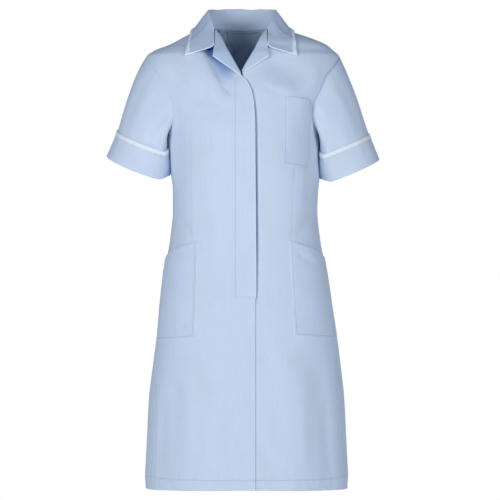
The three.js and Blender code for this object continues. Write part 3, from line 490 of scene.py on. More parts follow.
# Area lights: place and size in metres, power in watts, and how wide their light spreads in degrees.
LIGHTS = {
    "Key": ((-2.1, -2.5, -0.12), 1.8, 17.2, 85),
    "Fill": ((2.1, -2.5, -0.12), 1.8, 13.2, 85),
    "Back": ((0.8, 4.8, 0.2), 3.0, 130, 180),
}
LIGHTS_AIM = (0, 0, -0.22)
SKY = (0.3, 0.56, 1, 1)
SKY_STRENGTH = 0.18
WHITE = (1, 1, 1, 1)

# Threads: the rings of one stitch, as reach in its half lengths, and girth and rise in its radii
THREAD_RINGS = (
    (-1.0, 0.35, -0.35),
    (-0.72, 0.95, 0.0),
    (0.0, 1.1, 0.12),
    (0.72, 0.95, 0.0),
    (1.0, 0.35, -0.35),
)
THREAD_CORNERS = 6
THREAD_RISE = 0.35  # how far the threads lie above the cloth's middle

made = {}  # the sheets of the dress by the names of their pieces, for their stitches


def linear(red, green, blue):
    """A colour given as screen values from 0 to 255, as linear light."""
    return tuple(((c / 255 + 0.055) / 1.055) ** 2.4 if c > 10 else c / 3295 for c in (red, green, blue))


def length_property(name, description, default):
    return FloatProperty(name=name, description=description, default=default, unit="LENGTH")


def colour_property(name, description, default):
    return FloatVectorProperty(
        name=name, description=description, default=default, subtype="COLOR", min=0, max=1
    )


class DressSizes(bpy.types.PropertyGroup):
    """Sizes of the cloth and its sewing."""

    cloth: length_property("Cloth", "Thickness of the cloth", 0.0007)
    stitch: length_property("Stitch", "Length of one stitch", 0.0027)
    stitch_gap: length_property("Stitch gap", "Space between stitches", 0.0009)
    thread: length_property("Thread", "Thickness of the thread", 0.00042)
    yarn: length_property("Yarn", "Spacing of the woven yarns", 0.00045)


class DressColours(bpy.types.PropertyGroup):
    """Colours of the dress and the stage."""

    cloth: colour_property("Cloth", "Poly-cotton", linear(203, 215, 231))
    # Darker yarns of the weave, and also the colour towards which painted shade blends.
    yarn_and_painted_shade: colour_property("Yarn shade", "Darker yarns", linear(187, 204, 224))
    washed: colour_property("Washed", "Paler places", linear(195, 211, 223))
    # Painted highlight: lighter colour along the folded edges of the collar's front ends, the lapels and the
    # placket, and beside the hip pockets' inner edges.
    edge: colour_property("Edge", "Pressed edges", linear(232, 243, 255))
    # Painted shade: deep blue mixed into the most shaded places, such as the hollow beside the right lapel.
    painted_hollow_shade: colour_property("Hollow", "Cloth in deep folds", linear(84, 130, 188))
    tape: colour_property("Tape", "Flat tape", linear(242, 246, 250))
    thread: colour_property("Thread", "Sewing thread", linear(178, 196, 222))
    floor: colour_property("Floor", "Studio floor", (0.9, 0.9, 0.9))


# Shape of the worn body


def lerp(a, b, t):
    return a + (b - a) * t


def smoothstep(x, low, high):
    t = np.clip((np.asarray(x, float) - low) / (high - low), 0, 1)
    return t * t * (3 - 2 * t)


def bell(distance, reach):
    """1 at no distance, falling softly to a third at the reach."""
    return np.exp(-((distance / reach) ** 2))


def along(rows, key, at, column):
    """One column of a table at places between its rows, without overshoot."""
    keys, values = rows[key], rows[column]
    rise = np.diff(values) / np.diff(keys)
    slope = np.concatenate([rise[:1], np.zeros(len(keys) - 2), rise[-1:]])
    same = rise[:-1] * rise[1:] > 0
    both = np.where(same, rise[:-1] + rise[1:], 1)
    slope[1:-1] = np.where(same, 2 * rise[:-1] * rise[1:] / both, 0)
    i = np.clip(np.searchsorted(keys, at) - 1, 0, len(keys) - 2)
    step = keys[i + 1] - keys[i]
    t = np.clip((at - keys[i]) / step, 0, 1)
    start = values[i] * (1 + 2 * t) + step * slope[i] * t
    end = values[i + 1] * (3 - 2 * t) - step * slope[i + 1] * (1 - t)
    return start * (1 - t) ** 2 + end * t**2


def unit(vectors):
    return vectors / np.maximum(np.linalg.norm(vectors, axis=-1, keepdims=True), 1e-9)


def stack(x, y, z):
    return np.stack(np.broadcast_arrays(x, y, z), -1).astype(float)


def section_at(z):
    right, left = along(SECTIONS, "z", z, "right"), along(SECTIONS, "z", z, "left")
    front, back = along(SECTIONS, "z", z, "front"), along(SECTIONS, "z", z, "back")
    return (left - right) / 2, (left + right) / 2, front, back, along(SECTIONS, "z", z, "square")


def fold_depth(face, x, z):
    depth = np.zeros(np.broadcast(face, x, z).shape)
    for fold in FOLDS:
        across = x - fold["x"] - fold["lean"] * (z - fold["top"])
        ends = smoothstep(fold["top"] - z, 0, FOLD_FADE[0]) * smoothstep(z - fold["bottom"], 0, FOLD_FADE[1])
        depth += np.where(face == fold["face"], fold["depth"] * bell(across, fold["width"]) * ends, 0)
    return depth


def body_point(turn, z):
    """Points of the body: turn is in degrees round from the front centre, positive towards +X."""
    centre, half, front, back, square = section_at(z)
    sin, cos = np.sin(np.radians(turn)), np.cos(np.radians(turn))
    reach = (np.abs(sin) ** square + np.abs(cos) ** square) ** (-1 / square)
    face = np.where(cos > 0, -1, 1)
    x = centre + half * reach * sin
    depth = np.where(cos > 0, front, back) * reach * np.abs(cos)
    return stack(x, face * (depth + fold_depth(face, x, z) * np.abs(cos)), z)


def body_normal(turn, z):
    across = body_point(turn + 0.5, z) - body_point(turn - 0.5, z)
    return unit(np.cross(across, body_point(turn, z + 1) - body_point(turn, z - 1)))


def turn_at(x, z):
    """The turn at which the front of the body reaches x."""
    centre, half, _, _, square = section_at(z)
    share = np.clip((x - centre) / half, -1, 1)
    return np.degrees(np.arctan2(share, (1 - np.abs(share) ** square) ** (1 / square)))


def over_front(x, z, lift):
    """Points that lie on the front of the body by a lift, and the way out there."""
    turn = turn_at(x, z)
    normal = body_normal(turn, z)
    return body_point(turn, z) + normal * np.asarray(lift)[..., None], normal


def outside_body(points):
    """How far points lie outside the plain body, and the way out."""

    def share(x, y, z):
        centre, half, front, back, square = section_at(z)
        depth = np.where(y < 0, front, back)
        return (np.abs((x - centre) / half) ** square + np.abs(y / depth) ** square) ** (1 / square) - 1

    x, y, z = points[..., 0], points[..., 1], points[..., 2]
    slope = stack(
        share(x + 1, y, z) - share(x - 1, y, z),
        share(x, y + 1, z) - share(x, y - 1, z),
        share(x, y, z + 1) - share(x, y, z - 1),
    )
    slope *= 0.5
    return share(x, y, z) / np.linalg.norm(slope, axis=-1), unit(slope)


def hemmed(turn, z):
    """Heights that sink towards the side seams, where the hem hangs lower."""
    side = np.sin(np.radians(np.clip(np.abs(turn), 0, 90))) ** 2
    return z - HEM_SIDE_DROP * side * smoothstep(-z, -HEM_DROP_FADE_Z, -HEM_FRONT_Z)


def ripple(s, seed, longest=34.0):
    """An uneven wave along a length in millimetres, between about -1 and 1."""
    draw = np.random.default_rng(seed)
    wave = np.zeros(np.shape(s))
    for k in range(4):
        length = longest / (1.55**k) * draw.uniform(0.85, 1.15)
        wave += draw.uniform(0.5, 1) * np.sin(2 * np.pi * (s / length + draw.random()))
    return wave / 2.4


def beside_line(x, z, x0, z0, x1, z1):
    """How far along a line points of a plane lie, as a share of it, and how far beside it."""
    length = math.hypot(x1 - x0, z1 - z0)
    t = ((x - x0) * (x1 - x0) + (z - z0) * (z1 - z0)) / length**2
    return t, ((x - x0) * (z1 - z0) - (z - z0) * (x1 - x0)) / length


def crease_depth(x, z, ends, crease, sharp=1):
    """How far one soft crease lifts or sinks the cloth at points of a plane."""
    t, off = beside_line(x, z, *ends)
    off = off - crease["bow"] * 4 * t * (1 - t)
    reach = np.where(off > 0, crease["width"], crease["width"] * sharp)
    fade = smoothstep(t, *CREASE_FADE) * smoothstep(1 - t, *CREASE_FADE)
    return crease["depth"] * bell(off, reach) * fade


def lapel_hollow(x, z):
    """The right chest sinks along a slant beside the lapel, deepest under the collar: 1 where deepest."""
    t, off = beside_line(x, z, *HOLLOW["ends"])
    across = smoothstep(-off, *HOLLOW["fall"]) * (1 - smoothstep(-off, *HOLLOW["rise"]))
    ends = (1 - smoothstep(t, *HOLLOW["foot"])) * smoothstep(t, *HOLLOW["head"])
    return across * lerp(1, HOLLOW["foot_share"], np.clip(t, 0, 1)) * ends


def painted_shade_in_hollow(x, z):
    """Painted shade: how much deeper the front is coloured where it sinks beside the right lapel."""
    return HOLLOW["painted_shade"] / MM * lapel_hollow(x, z) ** HOLLOW["tone_power"]


def body_creases(face, x, z):
    """How far the creases lift or sink the front, face -1, or the back, face 1."""
    total = -HOLLOW["depth"] * lapel_hollow(x, z) if face < 0 else np.zeros(np.shape(x))
    for crease in CREASES:
        if crease["face"] == face:
            ends = crease["x0"], crease["z0"], crease["x1"], crease["z1"]
            total += crease_depth(x, z, ends, crease, crease["sharp"])
    return total


# Sheets of cloth


class Sheet:
    """A cloth surface as rows of points that run up, with columns to the right of an onlooker outside."""

    def __init__(self, points, normals=None, closed=False):
        self.points = points
        self.closed = closed
        self.normals = grid_normals(points, closed) if normals is None else normals
        self.lines = np.full(points.shape, FAR)
        self.seams = []
        self.measure()

    def sew_row(self, row, columns=slice(None)):
        self.seams.append((self.points[row, columns], self.normals[row, columns]))

    def sew_column(self, column, rows=slice(None)):
        self.seams.append((self.points[rows, column], self.normals[rows, column]))

    def sew_line(self, rows, columns, line):
        """Sews a straight line, given as its ends' places on the rows and columns of points."""
        column0, row0, column1, row1 = line
        t = np.linspace(0, 1, LINE_POINTS)
        i = np.interp(lerp(row0, row1, t), rows, np.arange(len(rows)))
        order = 1 if columns[-1] > columns[0] else -1
        j = np.interp(lerp(column0, column1, t), columns[::order], np.arange(len(columns))[::order])
        i0, j0 = np.minimum(i.astype(int), len(rows) - 2), np.minimum(j.astype(int), len(columns) - 2)
        a, b = (i - i0)[:, None], (j - j0)[:, None]
        corners = [
            (values[i0, j0], values[i0, j0 + 1], values[i0 + 1, j0], values[i0 + 1, j0 + 1])
            for values in (self.points, self.normals)
        ]
        self.seams.append(tuple(lerp(lerp(v0, v1, b), lerp(v2, v3, b), a) for v0, v1, v2, v3 in corners))

    def sew_hem(self, z):
        """Sews the row at the hem's depth, counted in the middle of the sheet."""
        self.sew_row(int(np.argmin(np.abs(z[:, z.shape[1] // 2] - HEM_LINE_Z))))

    def measure(self):
        """Sets the cloth's own coordinates: across and along in millimetres."""
        step = np.linalg.norm(np.diff(self.points, axis=1), axis=-1)
        rise = np.linalg.norm(np.diff(self.points, axis=0), axis=-1)
        middle = self.points.shape[1] // 2
        across = np.concatenate([np.zeros((len(step), 1)), np.cumsum(step, 1)], 1)
        across -= across[:, middle : middle + 1]
        up = np.concatenate([np.zeros((1, self.points.shape[1])), np.cumsum(rise, 0)], 0)
        # The third value is painted shade, which the pieces set to deepen their colour in shaded places.
        self.flat = np.stack([across, up, np.zeros_like(up)], -1)

    def lift(self, amount):
        self.points = self.points + self.normals * np.asarray(amount)[..., None]

    def _swapped(self, side):
        """Views with the wanted border first, as arrays (lines, places, 3)."""
        arrays = [self.points, self.normals, self.lines, self.flat]
        if side in ("left", "right"):
            arrays = [a.swapaxes(0, 1) for a in arrays]
        return [a[::-1] for a in arrays] if side in ("right", "top") else arrays

    def _restore(self, side, arrays):
        if side in ("right", "top"):
            arrays = [a[::-1] for a in arrays]
        if side in ("left", "right"):
            arrays = [a.swapaxes(0, 1) for a in arrays]
        self.points, self.normals, self.lines, self.flat = (np.ascontiguousarray(a) for a in arrays)

    def border(self, side, steps, pull=SEAM_PULL):
        """Draws a border back from its seam and adds lines past it, given as reaches and depths."""
        points, normals, lines, flat = self._swapped(side)
        points = points.copy()
        out = unit(points[0] - points[1])
        points[0] = points[0] - out * np.reshape(pull, (-1, 1))
        new = np.stack([points[0] + out * reach - normals[0] * depth for reach, depth in steps])
        added = [new, *(np.stack([a[0]] * len(steps)) for a in (normals, lines, flat))]
        self._restore(side, [np.concatenate(pair) for pair in zip(added, (points, normals, lines, flat))])

    def fold_under(self, side, depth, gap=1.6):
        """Folds a border under, so that a second layer lies inside the first."""
        points, normals, lines, flat = self._swapped(side)
        out = unit(points[0] - points[1])
        reach = np.cumsum(np.linalg.norm(np.diff(points, axis=0), axis=-1).mean(1))
        count = int(np.searchsorted(reach, depth)) + 1
        under = points[1 : count + 1] - normals[1 : count + 1] * gap
        bend = []
        for turned in np.radians(BEND_ANGLES):
            across, inward = gap / 2 * math.sin(turned), gap / 2 * (1 - math.cos(turned))
            bend.append(points[0] + out * across - normals[0] * inward)
        arrays = [np.concatenate([under[::-1], np.stack(bend), points])]
        for values in (normals, lines, flat):
            bent = np.stack([values[0]] * len(bend))
            arrays.append(np.concatenate([values[1 : count + 1][::-1], bent, values]))
        self._restore(side, arrays)


def grid_normals(points, closed):
    """The way out at each point of a sheet."""
    if closed:
        across = np.roll(points, -1, 1) - np.roll(points, 1, 1)
    else:
        across = np.gradient(points, axis=1)
    return unit(np.cross(across, np.gradient(points, axis=0)))


def cloth_mesh(name, sheet, thickness):
    """A mesh of a sheet with its cloth coordinates, as an object that is given its thickness."""
    rows, columns = sheet.points.shape[:2]
    i = np.arange(rows - 1)[:, None] * columns
    j = np.arange(columns if sheet.closed else columns - 1)[None]
    after = (j + 1) % columns
    faces = np.stack([i + j, i + after, i + columns + after, i + columns + j], -1)
    mesh = bpy.data.meshes.new(name)
    mesh.from_pydata((sheet.points.reshape(-1, 3) * MM).tolist(), [], faces.reshape(-1, 4).tolist())
    for key, values in (("cloth", sheet.flat), ("lines", sheet.lines)):
        layer = mesh.attributes.new(key, "FLOAT_VECTOR", "POINT")
        layer.data.foreach_set("vector", (values.reshape(-1) * MM).astype(np.float32))
    mesh.shade_smooth()
    mesh.validate()
    piece = bpy.data.objects.new(name, mesh)
    bpy.context.collection.objects.link(piece)
    shell = piece.modifiers.new("Cloth", "SOLIDIFY")
    shell.thickness = thickness
    shell.offset = 0
    return piece


def sew(name, sheet, node, tape=False):
    """Adds a sheet of the dress: it takes its node's place and rides with the dress."""
    sizes = bpy.context.scene.dress_sizes
    piece = cloth_mesh(name, sheet, sizes.cloth)
    piece.data.materials.append(tape_material() if tape else cloth_material())
    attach(piece, BODY)
    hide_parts(node)
    made[name] = sheet


def spread(count, *near):
    """Places from 0 to 1, with more lines at given distances from each end."""
    places = np.linspace(0, 1, count)
    extra = [*near, *(1 - n for n in near)]
    clear = [p for p in places if all(abs(p - n) > 0.35 / count for n in extra)]
    return np.array(sorted(clear + extra))


# Panels of the body


def low_rows(step):
    """Heights of the rows from the hem to the underarm, closer at the hem stitches."""
    near = [HEM_FRONT_Z + up for up in HEM_ROWS]
    plain = [z for z in np.arange(HEM_FRONT_Z, UNDERARM_Z, step) if all(abs(z - n) > 0.8 for n in near)]
    placket = [PLACKET_BOTTOM_Z - 1.2, PLACKET_BOTTOM_Z + 1.2]
    return np.array(sorted(plain + near + placket + [UNDERARM_Z]))


def panel_rows(centre_column, step, upper):
    """The height at the centre line and the place on the armhole for each row of a panel."""
    low = low_rows(step)
    at = np.linspace(0, 1, upper + 1)[1:]
    heights = np.concatenate([low, along(ARMHOLE, "at", at, centre_column)])
    return heights, np.concatenate([np.zeros(len(low)), at])


def front_side(centre_z, at, name):
    """Height and turn of the side border of a front: the side seam, and above it the armhole."""
    low = at == 0
    z = np.where(low, centre_z, along(ARMHOLE, "at", at, "frontZ"))
    turn = np.where(low, along(SIDE_SEAM, "z", centre_z, name), along(ARMHOLE, "at", at, "frontTurn"))
    return z, turn


def front_grid(centre_z, at, name, side, start_x, columns):
    """Turn and height of the points of a front from a line near the centre to the side."""
    side_z, side_turn = front_side(centre_z, at, name)
    start = turn_at(start_x, centre_z)
    start = np.where(at == 1, side * 90, start)
    turn = lerp(start[:, None], side * side_turn[:, None], columns)
    return turn, hemmed(turn, lerp(centre_z[:, None], side_z[:, None], columns))


def hem_puckers(z, s, seed):
    """The hem's stitches draw the cloth in, with small uneven waves below them."""
    line = z - HEM_LINE_Z
    drawn = -HEM["draw"] * bell(line, HEM["seam"])
    waves = HEM["wave"] * ripple(s, seed, HEM["wave_length"]) * bell(line, HEM["wave_reach"])
    waves = waves + HEM["edge"] * ripple(s, seed + 1, HEM["edge_length"]) * (line < 0)
    roll = -HEM["roll"] * (np.clip(-line, 0, HEM_DEPTH) / HEM_DEPTH) ** 1.5
    return drawn + roll + np.where(z < HEM_FRONT_Z + 2 * HEM_DEPTH, waves, 0)


def underarm(turn, z):
    """The cloth fills the space against the sleeve below the underarm."""
    heights = smoothstep(z, *UNDERARM_HEIGHTS[:2]) * (1 - smoothstep(z, *UNDERARM_HEIGHTS[2:]))
    return UNDERARM_FILL * smoothstep(np.abs(turn), *UNDERARM_TURNS) * heights


def dart_distance(side, x, z):
    """How far points lie beside a front's dart, and how far past its ends."""
    dart = next(dart for dart in DARTS if dart["side"] == side)
    t = (z - dart["topZ"]) / (dart["footZ"] - dart["topZ"])
    away = np.maximum(np.maximum(-t, t - 1), 0) * abs(dart["footZ"] - dart["topZ"])
    return x - lerp(dart["topX"], dart["footX"], t), away


def beside_pocket(side, x, z):
    """Distance to the strip that shines beside a hip pocket's inner edge."""
    facts = HIP_POCKETS["right" if side < 0 else "left"]
    t = (z - facts["inner_z"][0]) / (facts["inner_z"][1] - facts["inner_z"][0])
    off = np.abs(side * x - (lerp(*facts["inner_x"], t) - 1.8))
    return np.where((t > 0) & (t < 1), 0.55 + off * 0.6, FAR)


def side_pull(z, armhole):
    """How far a front is drawn back from its side seam, and from the armhole above it."""
    return np.where(z > UNDERARM_Z, armhole, lerp(0.45, 0.2, smoothstep(z, -680, -560)))


def front_sheet(side, turn, z):
    """A front panel with its creases, dart, hem and side seam lines."""
    points = body_point(turn, z)
    normals = body_normal(turn, z)
    x = points[..., 0]
    sheet = Sheet(points, normals)
    off, away = dart_distance(side, x, z)
    dart = sum(lift * bell(off, width) * bell(away, fade) for lift, width, fade in DART_SHAPES)
    seam_off = np.where(z < PLACKET_BOTTOM_Z, x - CENTRE_SEAM_X, FAR)
    seam = (0.42 * ripple(z, 5, 26) + 0.2) * bell(seam_off, CENTRE_SEAM_REACH)
    puckers = hem_puckers(z, x, 11 if side < 0 else 21)
    sheet.lift(body_creases(-1, x, z) + dart + seam + puckers + underarm(turn, z))
    # Painted shade: the front is coloured deeper in the hollow beside the right lapel, and where it swells
    # against a sleeve.
    sheet.flat[..., 2] = painted_shade_in_hollow(x, z) + UNDERARM_PAINTED_SHADE / MM * underarm(turn, z) / UNDERARM_FILL
    off = np.where(away > 0, FAR, np.abs(off) * 1.2)
    edge = sheet.flat[:, :, 0] - sheet.flat[:, 0 if side < 0 else -1, 0][:, None]
    edge = np.where(z < SIDE_LINE_Z, np.abs(edge) * 0.8, FAR)
    off = np.minimum(np.minimum(np.abs(seam_off), off), edge)
    # The third line places the painted highlight beside the hip pockets.
    sheet.lines = stack(off, z - HEM_LINE_Z, beside_pocket(side, x, z))
    sheet.sew_hem(z)
    return sheet, x


def right_front():
    """The front that lies on top, sunk behind its placket."""
    heights, at = panel_rows("centreFront", GRID_STEP, UPPER_ROWS["front"])
    start_x = along(FRONT_EDGES, "z", heights, "rightEdge")
    columns = spread(70, 0.004, 0.01, 0.02)
    turn, z = (values[:, ::-1] for values in front_grid(heights, at, "right", -1, start_x, columns))
    sheet, x = front_sheet(-1, turn, z)
    under = smoothstep(x, PLACKET_STITCH_X - 0.3, PLACKET_STITCH_X + 3)
    under = under * smoothstep(z, PLACKET_BOTTOM_Z - 0.3, PLACKET_BOTTOM_Z + 3)
    under = under * smoothstep(-z, -PLACKET_TOP_Z - 1, -PLACKET_TOP_Z + 6)
    sheet.lift(-PLACKET_SINK * under)
    sheet.fold_under("bottom", HEM_DEPTH)
    sheet.border("left", SEAM_TURN, side_pull(sheet.points[:, 0, 2], 0.12))
    for side in ("right", "top"):
        sheet.border(side, SEAM_TURN)
    return sheet


def step_back(x, z):
    """How far the left front lies behind the right one, where it is covered."""
    beyond = x - along(FRONT_EDGES, "z", z, "rightEdge")
    open_part = smoothstep(z, PLACKET_BOTTOM_Z - 14, PLACKET_BOTTOM_Z + 2)
    start, ramp = lerp(-0.3, 1, open_part), lerp(1.0, UNDERLAP_RAMP, open_part)
    share = np.clip((beyond - start) / (ramp - start), 0, 1)
    return lerp(SEAM_STEP, UNDERLAP_STEP, open_part) * (1 - share * share * (3 - 2 * share))


def left_front():
    """The front that runs on behind the right one."""
    heights, at = panel_rows("centreFront", GRID_STEP, UPPER_ROWS["front"])
    edge_x = along(FRONT_EDGES, "z", heights, "leftEdge")
    track_x = along(FRONT_EDGES, "z", heights, "leftTrack")
    hidden = np.array([0, 0.35, 0.7, 0.9, 0.97])
    across = lerp(edge_x[:, None], track_x[:, None], hidden)
    hidden_turn = np.where(at[:, None] == 1, 90, turn_at(across, heights[:, None]))
    shown_z = heights - UNDERLAP_TOP_DROP * smoothstep(heights, -40, 0)
    columns = spread(72, 0.004, 0.01, 0.02)
    turn, z = front_grid(shown_z, at, "left", 1, track_x, columns)
    dropped = heights[:, None] - UNDERLAP_TOP_DROP * hidden * smoothstep(heights, -40, 0)[:, None]
    hidden_z = hemmed(hidden_turn, dropped)
    turn, z = np.concatenate([hidden_turn, turn], 1), np.concatenate([hidden_z, z], 1)
    sheet, x = front_sheet(1, turn, z)
    sheet.lift(-np.where(at[:, None] == 1, 0, step_back(x, z)))
    beyond = x - along(FRONT_EDGES, "z", z, "rightEdge")
    heights = smoothstep(-z, *PLACKET_SHADE["high"]) * (1 - smoothstep(-z, *PLACKET_SHADE["low"]))
    shaded = heights * (1 - smoothstep(beyond, *PLACKET_SHADE["beyond"]))
    sheet.flat[..., 2] += PLACKET_SHADE["painted_shade"] * shaded / MM
    sheet.fold_under("bottom", HEM_DEPTH)
    sheet.border("right", SEAM_TURN, side_pull(sheet.points[:, -1, 2], 0.7))
    sheet.border("top", SEAM_TURN)
    return sheet


def back_place(centre_z, at, u, name):
    """Turn from the back centre and height of places on the back, blended from its borders."""
    low = at == 0
    seam = 180 - along(SIDE_SEAM, "z", centre_z, name)
    side_z, side_turn = along(ARMHOLE, "at", at, "backZ"), along(ARMHOLE, "at", at, "backTurn")
    top_turn = 90 * np.clip(u / NECK_POINT_AT, 0, 1)
    shoulder = np.clip((u - NECK_POINT_AT) / (1 - NECK_POINT_AT), 0, 1)
    top_z = BACK_NECK_Z * np.cos(np.radians(top_turn)) ** 2 + SHOULDER_TIP_Z * shoulder
    high_turn = u * side_turn + at**SHOULDER_TURN_POWER * (top_turn - 90 * u)
    high_z = lerp(centre_z, side_z, u) + at * (top_z - lerp(BACK_NECK_Z, SHOULDER_TIP_Z, u))
    return np.where(low, u * seam, high_turn), np.where(low, centre_z, high_z)


def pleat_shift(centre_z, at, u, name):
    """How far the back's places move across, so that the pleat's edge runs straight up to the neck."""
    places = np.linspace(0, NECK_POINT_AT, 96)
    turn, z = back_place(centre_z, at, places, name)
    x = body_point(180 - turn, z)[..., 0]
    edges = places + PLEAT_EDGE / PLEAT_SCALE
    straight = [[np.interp(PLEAT_LINE_X, np.interp(edges, places, row), places)] for row in x]
    z = z[:, :1]
    share = smoothstep(z, *PLEAT_STRAIGHT_Z[:2]) * (1 - smoothstep(z, *PLEAT_STRAIGHT_Z[2:]))
    near = bell(u - PLEAT_AT, PLEAT_REACH) * np.clip(u / PLEAT_AT, 0, 1)
    return (np.array(straight) - PLEAT_AT) * share * near


def back_half(heights, at, side, name, flats, plain):
    """Turn, height and depth of the points of half the back, with its pleat."""
    centre_z, at = heights[:, None], at[:, None]
    start, end = PLEAT_AT + flats[0] / PLEAT_SCALE, PLEAT_AT + flats[-1] / PLEAT_SCALE
    inner = start * np.linspace(0, 1, 9)[:-1]
    u = np.concatenate([inner, PLEAT_AT + flats / PLEAT_SCALE, lerp(end, 1, plain[1:])])
    pleated = np.zeros(len(u))
    pleated[len(inner) : len(inner) + len(flats)] = 1
    flat = np.clip((u - PLEAT_AT) * PLEAT_SCALE, flats[0], flats[-1])[None]
    u = u + pleat_shift(centre_z, at, u, name)
    _, z0 = back_place(centre_z, at, u, name)
    folded = pleated * (1 - smoothstep(-z0, -PLEAT_TOP_Z, -PLEAT_END_Z))
    shift = folded * (along(PLEAT, "flat", flat, "folded") - flat) / PLEAT_SCALE
    turn, z = back_place(centre_z, at, u + shift, name)
    depth = np.sqrt(folded) * along(PLEAT, "flat", flat, "depth")
    turn = side * (180 - turn)
    return turn, hemmed(turn, z), depth


def back_panel():
    """The back in one piece, with a pleat each side of its middle."""
    heights, at = panel_rows("centreBack", BACK_STEP, UPPER_ROWS["back"])
    flats = np.concatenate([np.arange(-12, 9, 1.25), np.arange(9.5, 34, 3.0), [34]])
    plain = spread(44, 0.006, 0.014)
    left = back_half(heights, at, 1, "left", flats, plain)
    right = back_half(heights, at, -1, "right", flats, plain)
    turn, z, depth = (np.concatenate([a[:, ::-1], b[:, 1:]], 1) for a, b in zip(left, right))
    points, normals = body_point(turn, z), body_normal(turn, z)
    sheet = Sheet(points, normals)
    x = points[..., 0]
    around = 180 - np.abs(turn)
    sheet.lift(body_creases(1, x, z) - depth + hem_puckers(z, x, 31) + underarm(around, z))
    # Painted shadow: a dark line and deeper colour along the pleats' folds inside the neck.
    inner_fold = (np.abs(x) - PLEAT_LINE_X) * 0.6
    sheet.lines = stack(np.where(z > PLEAT_LINE_Z, inner_fold, FAR), z - HEM_LINE_Z, FAR)
    fold = bell(inner_fold, 1.3) * smoothstep(z, PLEAT_LINE_Z, PLEAT_LINE_Z + 40)
    # Painted shade on the lower back behind the side seams.
    strip = smoothstep(around, *PAINTED_SIDE_SHADE["turns"])
    strip = strip * smoothstep(-z, -SIDE_LINE_Z, PAINTED_SIDE_SHADE["fade"] - SIDE_LINE_Z)
    sheet.flat[..., 2] = (PLEAT_PAINTED_SHADOW * fold + PAINTED_SIDE_SHADE["painted_shade"] * strip) / MM
    sheet.sew_hem(z)
    sheet.fold_under("bottom", HEM_DEPTH)
    for side in ("left", "right", "top"):
        sheet.border(side, SEAM_TUCK)
    return sheet


# Sleeves


def armhole_loop(side):
    """Shares of its length, points, ways out and ways past its edge, from the shoulder by the front."""
    steps = 2 * ARMHOLE_STEPS
    k = np.arange(steps + 1)
    at = np.abs(k / ARMHOLE_STEPS - 1)
    front = k < ARMHOLE_STEPS
    turn = np.where(front, along(ARMHOLE, "at", at, "frontTurn"), along(ARMHOLE, "at", at, "backTurn"))
    z = np.where(front, along(ARMHOLE, "at", at, "frontZ"), along(ARMHOLE, "at", at, "backZ"))
    body_turn = side * np.where(front, turn, 180 - turn)
    points, out = body_point(body_turn, z), body_normal(body_turn, z)
    share = np.concatenate([[0], np.cumsum(np.linalg.norm(np.diff(points, axis=0), axis=1))])
    share /= share[-1]
    middle = (points[0] + points[ARMHOLE_STEPS]) / 2
    ring = points[:-1]
    ahead = np.roll(ring, -2, 0) - np.roll(ring, 2, 0)
    beyond = unit(np.cross(np.concatenate([ahead, ahead[:1]]), out))
    flip = np.sum(beyond * (middle - points), 1) < 0
    beyond[flip] *= -1
    return share, points, out, beyond


def on_line(share, values, places):
    """Vectors given at shares of a line's length, at places between them."""
    return np.stack([np.interp(places, share, values[:, k]) for k in range(3)], -1)


def sleeve_surface(side, x, z, half_width, half_depth, lean, head, dip):
    """A sleeve's plain form, as a function of places round it and down from its armhole."""
    share, ring, outs, beyonds = armhole_loop(side)
    lean = math.radians(lean)
    axis = np.array([side * math.sin(lean), 0, -math.cos(lean)])
    outward = np.array([side * math.cos(lean), 0, math.sin(lean)])
    forward = np.array([0, -1, -dip])
    centre = np.array([side * x, 0, z])

    def surface(places, down):
        places, down = np.broadcast_arrays(np.asarray(places, float) % 1, np.asarray(down, float))
        angle = 2 * np.pi * places
        under = (1 - np.cos(angle)) / 2
        start, out = on_line(share, ring, places), unit(on_line(share, outs, places))
        beyond = unit(on_line(share, beyonds, places))
        away = lerp(head, UNDERARM_SPREAD, under) + SIDE_SPREAD * np.sin(angle) ** 2
        leave = stack(side * away, -SLEEVE_FULLNESS * np.sin(angle), 0 * away)
        leave = unit(leave + axis * SLEEVE_FALL)
        along_out = np.sum(leave * out, -1, keepdims=True)
        start = start + beyond * (SEAM_GAP + WALL / 2 * np.maximum(along_out, 0))
        back = np.maximum(-np.sum(leave * beyond, -1, keepdims=True), 0)
        start = start + out * (PLY - SEAM_GAP / 2) * back
        end = centre + outward * (half_width * np.cos(angle))[..., None]
        end = end + forward * (half_depth * np.sin(angle))[..., None]
        end = end - axis * (CUFF_INNER_RISE * smoothstep(under, 0.86, 1))[..., None]
        length = np.linalg.norm(end - start, axis=-1, keepdims=True)
        t = np.clip(down, 0, 1)[..., None]
        point = start * (1 + 2 * t) * (1 - t) ** 2 + leave * length * t * (1 - t) ** 2
        point = point + end * t * t * (3 - 2 * t) + axis * length * t * t * (t - 1)
        point = point + axis * length * np.maximum(down[..., None] - 1, 0)
        return point, length[..., 0], (out, beyond)

    return surface


def sleeve_places(side, count):
    """Places round a sleeve that start and end at the underarm, to the right of an onlooker outside."""
    places = np.linspace(-0.5, 0.5, count, endpoint=False)
    return places[::-1] if side > 0 else places


def sleeve_creases(places, down):
    """How far the creases lift or sink a sleeve."""
    x, z = (places % 1) * SLEEVE_ROUND, down * SLEEVE_LONG
    total = np.zeros(np.broadcast(x, z).shape)
    for crease in SLEEVE_CREASES:
        ends = [crease[f"{way}{end}"] * reach for end in (0, 1) for way, reach in SLEEVE_WAYS]
        total += crease_depth(x, z, ends, crease, crease["sharp"])
    return total


def sleeve_ease(name, places, down):
    """How far the cloth lies off the plain form of a sleeve, on its outer and its inner side."""
    angle = 2 * np.pi * places
    outer, inner = (along(SLEEVE_EASE[name], "down", down, key) for key in ("outer", "inner"))
    return outer * np.maximum(np.cos(angle), 0) ** 2 + inner * np.maximum(-np.cos(angle), 0) ** 2


def inner_front(places):
    """1 at the front of a sleeve next to the body, 0 elsewhere."""
    return bell(places % 1 - INNER_FRONT[0], INNER_FRONT[1])


